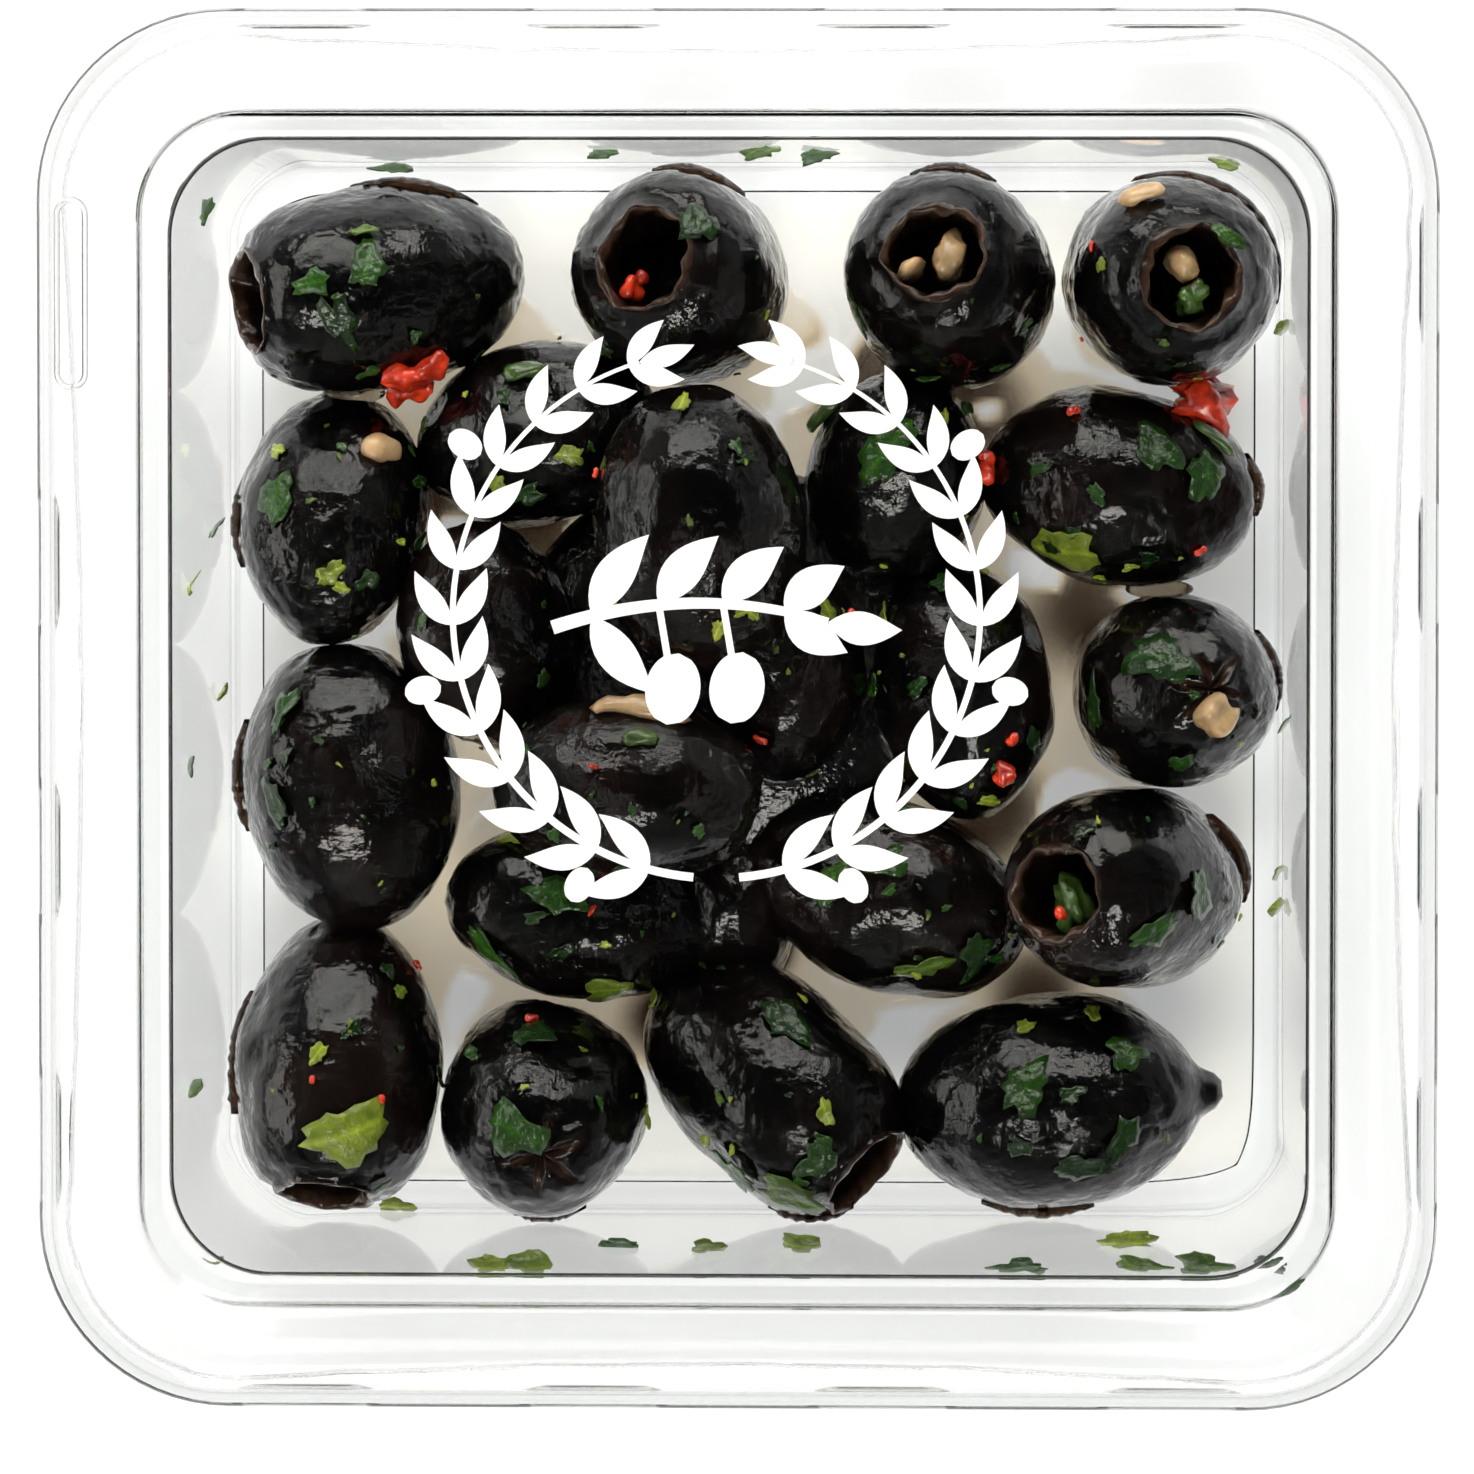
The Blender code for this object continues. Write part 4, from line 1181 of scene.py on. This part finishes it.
def oil_pool(look):
    """Oil on the floor as a height over a square grid: a film that thickens in the middle
    along a wandering line round the olives, with a lip that climbs each olive's foot. Its depth
    value grows tanner towards the middle, partly the oil's tint and partly painted shade under
    the heap, and darker in the heap's gaps as painted shade."""
    line = np.linspace(-1, 1, POOL_POINTS)
    x, y = np.meshgrid(line, line, indexing="xy")
    x, y = POOL_HALF * x * (1 - POOL_ROUND * y**16), POOL_HALF * y * (1 - POOL_ROUND * x**16)
    flat = np.stack([x, y, 0 * x], axis=-1)
    gap = gap_to_olives(x, y, FLOOR_Z + FOOT_HEIGHT)
    middle = smooth_step((MIDDLE_EDGE - np.maximum(np.abs(x), np.abs(y))) / MIDDLE_BLEND)
    reach = POOL_REACH[0] + POOL_REACH[1] * middle
    reach = reach + (POOL_WANDER[0] + POOL_WANDER[1] * middle) * waves(flat, 11, POOL_WAVE)
    edge = smooth_step((reach - gap) / 1.2)
    lip = edge * np.exp(-np.maximum(gap, 0) / LIP_SPAN)
    height = POOL_FILM + edge * look.level / MM + lip * look.climb / MM
    top = np.stack([x, y, FLOOR_Z + height], axis=-1)
    rim = np.concatenate([top[0, :-1], top[:-1, -1], top[-1, :0:-1], top[:0:-1, 0]])
    flat_on_floor = np.array([1.0, 1.0, 0.0])
    lift = np.array([0.0, 0.0, FLOOR_Z + 0.005])
    sheet = grid_faces(*x.shape, wrap_columns=False)
    bottom = top * flat_on_floor + lift
    # Painted shade: browner spots in the heap's gaps, where shade falls between olives
    brown = 0
    for place_x, place_y, size in GAP_SHADE_SPOTS:
        brown = brown + GAP_SHADE_DEPTH * np.exp(-((np.hypot(x - place_x, y - place_y) / size) ** 4))
    # Depth: the tan grows towards the middle, partly the oil's tint and partly painted shade under the heap;
    # the gap spots add painted shade, and the lip adds the brown of thick oil
    depth = np.clip(edge * (look.tan * (0.15 + 0.85 * middle) + brown) + 0.8 * lip, 0, 1)
    parts = [(top, sheet, {"depth": depth.ravel()}), (bottom, sheet[:, ::-1], {"depth": depth.ravel()})]
    sides = grid_faces(2, len(rim))
    parts.append((np.stack([rim, rim * flat_on_floor + lift]), sides, {"depth": 0.0}))
    return joined(parts)


def reach_of(name, side, place, height):
    """How far out an olive reaches towards a side at each place along it and height."""
    centre, turn, half, power = placed(name)
    normal, along = side_frame(side)
    outs = np.linspace(30.0, 64.0, 341)
    spots = place[..., None, None] * along + outs[:, None] * normal
    spots = spots + height[..., None, None] * np.array([0.0, 0.0, 1.0])
    inside = fullness((spots - centre) @ turn, half, power) < 1
    last = len(outs) - 1 - np.argmax(inside[..., ::-1], axis=-1)
    return np.where(inside.any(axis=-1), outs[last], 30.0)


def wall_reach(height):
    """Half width between the walls at a height."""
    share = (height - WALL_FOOT_Z) / (WALL_TOP_Z - WALL_FOOT_Z)
    return WALL_FOOT_HALF + (WALL_TOP_HALF - WALL_FOOT_HALF) * share


def oil_bridge(name, side, place, stretch):
    """Oil that clings to an olive where it meets a wall: at each place along the wall, a
    ring that stands out from the olive's widest reach by a lip, which shrinks to nothing at
    both ends as one less the squared share. A side of a half is the corner between two."""
    normal, along = side_frame(side)
    share = np.linspace(-1, 1, 25)[:, None]
    levels = np.linspace(5.0, 22.0, 69)[None]
    reach = reach_of(name, side, place + stretch * share + 0 * levels, levels + 0 * share)
    hug = reach.max(axis=1)[:, None]
    widest = levels[0][reach.argmax(axis=1)][:, None]
    angle = round_turn(14)[None]
    lip = OIL_LIP * (1 - share**2)
    height = widest + OIL_TALL * (1.02 - share**2) * np.sin(angle)
    limit = wall_reach(height) - 0.06 if side % 1 == 0 else CORNER_REACH
    out = np.minimum(hug + (lip - OIL_DEEP) / 2 + (lip + OIL_DEEP) / 2 * np.cos(angle), limit)
    spots = place + stretch * share + 0 * angle
    points = spots[..., None] * along + out[..., None] * normal + height[..., None] * np.array([0, 0, 1.0])
    # Depth 0.9 gives the darkest brown: partly the oil's own tint, partly painted shade where olive and wall
    # meet
    return points, grid_faces(*points.shape[:2]), {"depth": 0.9}


def oil_neck(x, y, z, across):
    """Oil that joins two olives: a sphere stretched to be wide between them, and thin from
    one to the other."""
    points = np.array([x, y, z]) + ball(13, 20, (across, NECK_THIN, NECK_TALL))
    return points, grid_faces(*points.shape[:2]), {"depth": 0.6}


# Print

def ribbon(line, half_width, low, high):
    """A flat band along a line: a ring of four corners at each point of it, square to the
    line's direction, of that point's half width."""
    way = np.gradient(line, axis=0)
    way /= np.linalg.norm(way, axis=1, keepdims=True)
    across = np.stack([-way[:, 1], way[:, 0]], axis=1) * half_width[:, None]
    left = line + across
    right = line - across
    corners = []
    for flat, z in ((left, low), (right, low), (right, high), (left, high)):
        corners.append(np.concatenate([flat, np.full((len(flat), 1), z)], axis=1))
    points = np.stack(corners, axis=1)
    return points, grid_faces(*points.shape[:2]), {}


def leaf_line(start, heading, length, sway):
    """Points of a leaf's middle line, turning evenly by sway over its length."""
    t = np.linspace(0, 1, 13)
    angle = heading + sway * (t - 0.5)
    steps = direction(angle) * length / 12
    return np.array(start) + np.cumsum(steps, axis=0) - steps[0]


def printed_leaf(start, heading, length, width, sway=0.3):
    """A leaf whose width is a sine hump, fuller towards its foot."""
    t = np.linspace(0, 1, 13)
    hump = np.sin(np.pi * t**0.85) * width / 2
    return ribbon(leaf_line(start, heading, length, sway), hump, *INK_LEVELS)


def printed_oval(centre, heading, length, width):
    """An oval fruit: the width is the root of one less the squared share."""
    t = np.linspace(-1, 1, 17)
    line = np.array(centre) + t[:, None] * direction(heading) * length / 2
    return ribbon(line, width / 2 * np.sqrt(np.clip(1 - t**2, 0, 1)), *INK_LEVELS)


INK_LEVELS = (PANEL_Z + 0.01, PANEL_Z + 0.05)
WREATH_CENTRE = (-1.8, 8.1)
WREATH_GAP = math.radians(17)
WREATH_FOOT = math.radians(5)
WREATH_LEAVES = 13
WREATH_LEAN = math.radians(34)
WREATH_FRUIT = (3.2, 2.4)
FRUIT_STEP = 3.4
SPRIG_PLACES = (-0.84, -0.32, 0.18, 0.66)
SPRIG_FRUIT = (1, 2)


def wreath_parts(radius):
    """Two twigs that rise round a circle from its foot, with leaves in pairs and small fruit."""
    parts = []
    centre = np.array(WREATH_CENTRE)
    for mirror in (1, -1):
        start = -math.pi / 2 + mirror * WREATH_FOOT
        sweep = mirror * (math.pi - WREATH_FOOT - WREATH_GAP)
        t = np.linspace(0, 1, 60)
        angle = start + sweep * t
        line = centre + radius * direction(angle)
        parts.append(ribbon(line, 0.36 - 0.2 * t, *INK_LEVELS))
        for index in range(WREATH_LEAVES):
            share = (index + 0.8) / WREATH_LEAVES
            here = start + sweep * share
            spot = centre + radius * direction(here)
            ahead = here + mirror * math.pi / 2
            for side in (1, -1):
                lean = side * WREATH_LEAN
                size = (6.6 - 1.6 * share, 2.3 - 0.5 * share)
                parts.append(printed_leaf(spot, ahead + lean, *size, -0.5 * side))
            if index % 4 == 1:
                fruit = spot + FRUIT_STEP * direction(here)
                parts.append(printed_oval(fruit, here, *WREATH_FRUIT))
        parts.append(printed_leaf(line[-1], angle[-1] + mirror * math.pi / 2, 5.0, 1.8))
    return parts


def sprig_parts():
    """A level sprig in the middle of the wreath: a bowed twig with leaves above and below,
    and two fruit that hang on stalks between the lower leaves."""
    parts = []
    centre = np.array(WREATH_CENTRE)
    twig = centre + sprig_place(np.linspace(-1.15, 1, 40))
    parts.append(ribbon(twig, np.linspace(0.6, 0.36, 40), *INK_LEVELS))
    for index, place in enumerate(SPRIG_PLACES):
        spot = centre + sprig_place(np.array([place]))[0]
        length = 8.6 - 0.7 * index
        parts.append(printed_leaf(spot, math.radians(56 - 6 * index), length, 3.3, -0.4))
        if index in SPRIG_FRUIT:
            fruit = spot + np.array([1.2, -7.2])
            stalk = spot + np.linspace(0, 1, 9)[:, None] * (fruit - spot)
            parts.append(ribbon(stalk, np.full(9, 0.3), *INK_LEVELS))
            parts.append(printed_oval(fruit, 1.4, 6.2, 4.7))
        else:
            parts.append(printed_leaf(spot, -math.radians(52 - 6 * index), length, 3.3, 0.4))
    parts.append(printed_leaf(centre + sprig_place(np.array([1.0]))[0], -0.12, 6.4, 2.9))
    return parts


def sprig_place(t):
    """Points of the sprig's twig: a shallow arch."""
    return np.stack([11.0 * t - 1.4, 1.6 * (1 - t**2) - 0.6], axis=1)


# Operators

def settings():
    """The sizes and colours of this scene."""
    return bpy.context.scene.tub_of_olives


class OLIVES_OT_tub(bpy.types.Operator):
    """Make the clear tub in place of its solid"""

    bl_idname = "olives.tub"
    bl_label = "Clear tub"

    def execute(self, context):
        look = settings().plastic
        points = square_rings(eased(TUB_SECTION), look.corner_steps, look.side_steps)
        outer = smooth_step((np.abs(points[..., :2]).max(axis=-1) - RIPPLE_FROM) / 1.5)
        ripple = RIPPLE * outer * waves(points, 5, 9.0)
        inward = points[..., :2] / np.maximum(np.linalg.norm(points[..., :2], axis=-1, keepdims=True), 1e-6)
        points[..., :2] -= inward * np.maximum(ripple, 0)[..., None]
        made = put_mesh("clear_tub", points, grid_faces(*points.shape[:2]))
        finish = clear_plastic("clear_tub_plastic", look, look.wall_density, look.clear_wall)
        dress(made, finish, ["tub"])
        return {"FINISHED"}


class OLIVES_OT_lid(bpy.types.Operator):
    """Make the clear lid with its catch lugs in place of its solid"""

    bl_idname = "olives.lid"
    bl_label = "Clear lid"

    def execute(self, context):
        look = settings().plastic
        points = square_rings(eased(LID_SECTION), look.corner_steps, look.side_steps)
        points = add_lugs(points, look.lug_length / MM, look.lug_reach / MM)
        made = put_mesh("clear_lid", points, grid_faces(*points.shape[:2]))
        dress(made, clear_plastic("clear_lid_plastic", look, look.density), ["lid"])
        return {"FINISHED"}


class OLIVES_OT_lid_rib(bpy.types.Operator):
    """Make the narrow raised loop on the lid's left rim"""

    bl_idname = "olives.lid_rib"
    bl_label = "Raised loop on the rim"

    def execute(self, context):
        straight = RIB_HALF_LENGTH - RIB_HALF_WIDTH
        turn = np.linspace(0, np.pi, 13)
        arc = np.stack([RIB_HALF_WIDTH * np.cos(turn), straight + RIB_HALF_WIDTH * np.sin(turn)], axis=1)
        loop = np.concatenate([arc, -arc])
        ahead = np.roll(loop, -1, axis=0) - np.roll(loop, 1, axis=0)
        ahead /= np.linalg.norm(ahead, axis=1, keepdims=True)
        side = np.stack([ahead[:, 1], -ahead[:, 0], 0 * ahead[:, 0]], axis=1)[:, None]
        angle = round_turn(12)[None, :, None]
        middle = np.insert(loop + np.array(RIB_CENTRE), 2, RIB_Z, axis=1)[:, None]
        points = middle + RIB_RADIUS * (side * np.cos(angle) + np.array([0, 0, 1.0]) * np.sin(angle))
        made = put_mesh("lid_rib", points, grid_faces(*points.shape[:2], wrap_rows=True))
        look = settings().plastic
        dress(made, clear_plastic("clear_rib_plastic", look, look.density))
        return {"FINISHED"}


class OLIVES_OT_olives(bpy.types.Operator):
    """Make the olives, with a low core of their own, in place of the heap's solid"""

    bl_idname = "olives.olives"
    bl_label = "Olives"

    def execute(self, context):
        look = settings().olive
        parts = [olive_mesh(name, index, look) for index, name in enumerate(OLIVES)]
        made = put_mesh("black_olives", *joined([*parts, core_mesh()]))
        dress(made, skin_material(look), ["olives"])
        return {"FINISHED"}


class OLIVES_OT_herbs(bpy.types.Operator):
    """Make the leaf scraps on the olives and on the walls"""

    bl_idname = "olives.herbs"
    bl_label = "Herb leaves"

    def execute(self, context):
        look = settings().topping
        finish = leaf_material(look)
        x, y, length, turn = np.array(LEAVES, dtype=float).T
        draw = np.random.default_rng(21)
        shade = 0.7 * draw.uniform(0, 1, len(x)) ** 1.3
        scraps = leaf_scraps(x, y, length, turn, 22, look, shade)
        dress(put_mesh("herb_leaves", *scraps), finish)
        x, y = scattered(FLAKE_COUNT, 23, FLAKE_SPAN)
        length = FLAKE_SMALLEST + FLAKE_SPREAD * draw.uniform(0, 1, len(x)) ** 2
        shade = draw.uniform(0, 1, len(x)) ** 1.6
        flakes = leaf_scraps(x, y, length, draw.uniform(0, 180, len(x)), 24, look, shade)
        dress(put_mesh("herb_flakes", *flakes), finish)
        dress(put_mesh("herb_flakes_on_walls", *wall_scraps(WALL_FLAKES, 25, look)), finish)
        return {"FINISHED"}


class OLIVES_OT_stems(bpy.types.Operator):
    """Make the pieces of herb stem"""

    bl_idname = "olives.stems"
    bl_label = "Herb stems"

    def execute(self, context):
        stem = settings().topping.stem
        finish = food_material("oiled_stem", [0.6 * c for c in stem], [1.3 * c for c in stem], 900.0)
        parts = [rods(STEMS, 31, around=24, lumpy=0.05, ridge=0.16), pit_lumps(PIT_HERBS, 0.28)]
        dress(put_mesh("herb_stems", *joined(parts)), finish)
        return {"FINISHED"}


class OLIVES_OT_chilli(bpy.types.Operator):
    """Make the pieces and specks of red chilli"""

    bl_idname = "olives.chilli"
    bl_label = "Chilli"

    def execute(self, context):
        chilli = settings().topping.chilli
        x, y = scattered(RED_FLAKE_COUNT, 41, FLAKE_SPAN)
        draw = np.random.default_rng(42)
        sizes = [draw.uniform(low, high, len(x)) for low, high in ((0.4, 1.5), (0.3, 0.7), (0, 180))]
        specks = np.stack([x, y, *sizes], axis=1)
        rows = np.concatenate([np.array(CHILLIES, dtype=float), specks])
        light = [1.3 * chilli[0], 2.0 * chilli[1], chilli[2]]
        finish = food_material("wet_chilli", [0.4 * c for c in chilli], light, 600.0)
        parts = [rods(rows, 43, sections=15, around=18, lumpy=0.24, ridge=0.22), pit_lumps(PIT_CHILLIES, 0.2)]
        dress(put_mesh("chilli_pieces", *joined(parts)), finish)
        return {"FINISHED"}


class OLIVES_OT_garlic(bpy.types.Operator):
    """Make the pieces of garlic, on the olives and in two open ends"""

    bl_idname = "olives.garlic"
    bl_label = "Garlic"

    def execute(self, context):
        garlic = settings().topping.garlic
        finish = food_material("oiled_garlic", [0.6 * c for c in garlic], [1.25 * c for c in garlic], 500.0)
        parts = [rods(GARLICS, 51, sections=13, lumpy=0.17), pit_lumps(PIT_GARLICS)]
        dress(put_mesh("garlic_pieces", *joined(parts)), finish)
        return {"FINISHED"}


class OLIVES_OT_oil(bpy.types.Operator):
    """Make the oil on the floor and between olives and walls"""

    bl_idname = "olives.oil"
    bl_label = "Oil"

    def execute(self, context):
        look = settings().oil
        finish = oil_material("clear_oil", look)
        dress(put_mesh("oil_on_floor", *oil_pool(look)), finish)
        parts = [oil_bridge(*row) for row in OIL_BRIDGES] + [oil_neck(*row) for row in OIL_NECKS]
        dress(put_mesh("oil_at_walls", *joined(parts)), finish)
        return {"FINISHED"}


class OLIVES_OT_print(bpy.types.Operator):
    """Make the white wreath and sprig printed on the lid"""

    bl_idname = "olives.print"
    bl_label = "Printed wreath"

    def execute(self, context):
        look = settings().ink
        made = put_mesh("printed_wreath", *joined(wreath_parts(look.radius / MM) + sprig_parts()), sharp=40)
        dress(made, ink_material(look))
        return {"FINISHED"}


def look_from(distance, lean, target):
    """A camera's place and turn: back from the target along the lean, with +Y up in the picture."""
    away = Vector(lean).normalized()
    across = (-away).cross(Vector((0, 1, 0))).normalized()
    up = across.cross(-away)
    turn = Matrix((across, up, away)).transposed().to_4x4()
    return Matrix.Translation((Vector(target) + away * distance) * MM) @ turn


def softbox(name, tilt, heading, distance, width, depth, power):
    """An area lamp that faces the tub from tilt degrees off the vertical, towards a heading
    counted from +X."""
    lamp = bpy.data.lights.new(name, "AREA")
    lamp.shape = "RECTANGLE"
    lamp.size = width
    lamp.size_y = depth
    lamp.energy = power
    lamp.color = LAMP_COLOUR
    turn = Matrix.Rotation(math.radians(heading), 4, "Z") @ Matrix.Rotation(math.radians(tilt), 4, "Y")
    add_object(name, lamp).matrix_world = turn @ Matrix.Translation((0, 0, distance))


def floor_material(look):
    """A pale floor that also glows a little, as a lit table does, faintly mottled."""
    made, shader = new_material("pale_floor", Roughness=0.8, Emission_Color=(1, 1, 1, 1))
    share = level(made, noise(made, 9.0, 2.0), 0.3, 0.7)
    wire(made, blend(made, share, [0.985 * c for c in look.floor], look.floor), shader.inputs["Base Color"])
    place = node_in(made, "ShaderNodeTexCoord")
    length = node_in(made, "ShaderNodeVectorMath", operation="LENGTH")
    wire(made, place.outputs["Object"], length.inputs[0])
    glow = level(made, length.outputs["Value"], look.lit_radius, 2.2 * look.lit_radius, look.floor_glow, 0.0)
    wire(made, glow, shader.inputs["Emission Strength"])
    return made


class OLIVES_OT_stage(bpy.types.Operator):
    """Make the floor, lights, sky and camera"""

    bl_idname = "olives.stage"
    bl_label = "Stage"

    def execute(self, context):
        look = settings().stage
        square = np.array([(-1, -1, 0), (1, -1, 0), (1, 1, 0), (-1, 1, 0)])
        corners = FLOOR_HALF * square - [0, 0, FLOOR_DROP]
        floor = put_mesh("floor", corners, np.array([[0, 1, 2, 3]]))
        floor.data.materials.append(floor_material(look))
        for name, power in zip(SOFTBOXES, (look.key, look.fill, look.side)):
            softbox(name, *SOFTBOXES[name], power)
        world = bpy.data.worlds.new("studio")
        world.use_nodes = True
        world.node_tree.nodes["Background"].inputs["Color"].default_value = (1, 1, 1, 1)
        way = node_in(world, "ShaderNodeTexCoord")
        parts = node_in(world, "ShaderNodeSeparateXYZ")
        wire(world, way.outputs["Generated"], parts.inputs["Vector"])
        strength = level(world, parts.outputs["Z"], 0.0, 0.5, look.horizon, look.sky)
        wire(world, strength, world.node_tree.nodes["Background"].inputs["Strength"])
        context.scene.world = world
        context.scene.view_settings.view_transform = "Standard"
        lens = bpy.data.cameras.new("camera")
        lens.sensor_width = SENSOR
        lens.lens = SENSOR * CAMERA_DISTANCE * LID_SPAN_PX / (2 * LID_HALF) / PHOTO_SIDE_PX
        lens.clip_end = 10.0
        camera = add_object("camera", lens)
        camera.matrix_world = look_from(CAMERA_DISTANCE, CAMERA_LEAN, CAMERA_TARGET)
        context.scene.camera = camera
        return {"FINISHED"}


class OLIVES_PT_panel(bpy.types.Panel):
    """The pieces, in the order they are made"""

    bl_label = "Tub of olives"
    bl_idname = "OLIVES_PT_panel"
    bl_space_type = "VIEW_3D"
    bl_region_type = "UI"
    bl_category = "Olives"

    def draw(self, context):
        for operator in OPERATORS:
            self.layout.operator(operator.bl_idname)


OPERATORS = (
    OLIVES_OT_tub, OLIVES_OT_lid, OLIVES_OT_lid_rib, OLIVES_OT_olives, OLIVES_OT_herbs, OLIVES_OT_stems,
    OLIVES_OT_chilli, OLIVES_OT_garlic, OLIVES_OT_oil, OLIVES_OT_print, OLIVES_OT_stage,
)
GROUPS = (PlasticLook, OliveLook, ToppingLook, OilLook, PrintLook, StageLook, TubOfOlives)


def register():
    for made in (*GROUPS, *OPERATORS, OLIVES_PT_panel):
        bpy.utils.register_class(made)
    bpy.types.Scene.tub_of_olives = PointerProperty(type=TubOfOlives)


def unregister():
    del bpy.types.Scene.tub_of_olives
    for made in reversed((*GROUPS, *OPERATORS, OLIVES_PT_panel)):
        bpy.utils.unregister_class(made)


def main():
    """Makes every piece and the stage."""
    register()
    bpy.ops.olives.tub()
    bpy.ops.olives.lid()
    bpy.ops.olives.lid_rib()
    bpy.ops.olives.olives()
    bpy.ops.olives.herbs()
    bpy.ops.olives.stems()
    bpy.ops.olives.chilli()
    bpy.ops.olives.garlic()
    bpy.ops.olives.oil()
    bpy.ops.olives.print()
    bpy.ops.olives.stage()


if __name__ == "__main__":
    main()
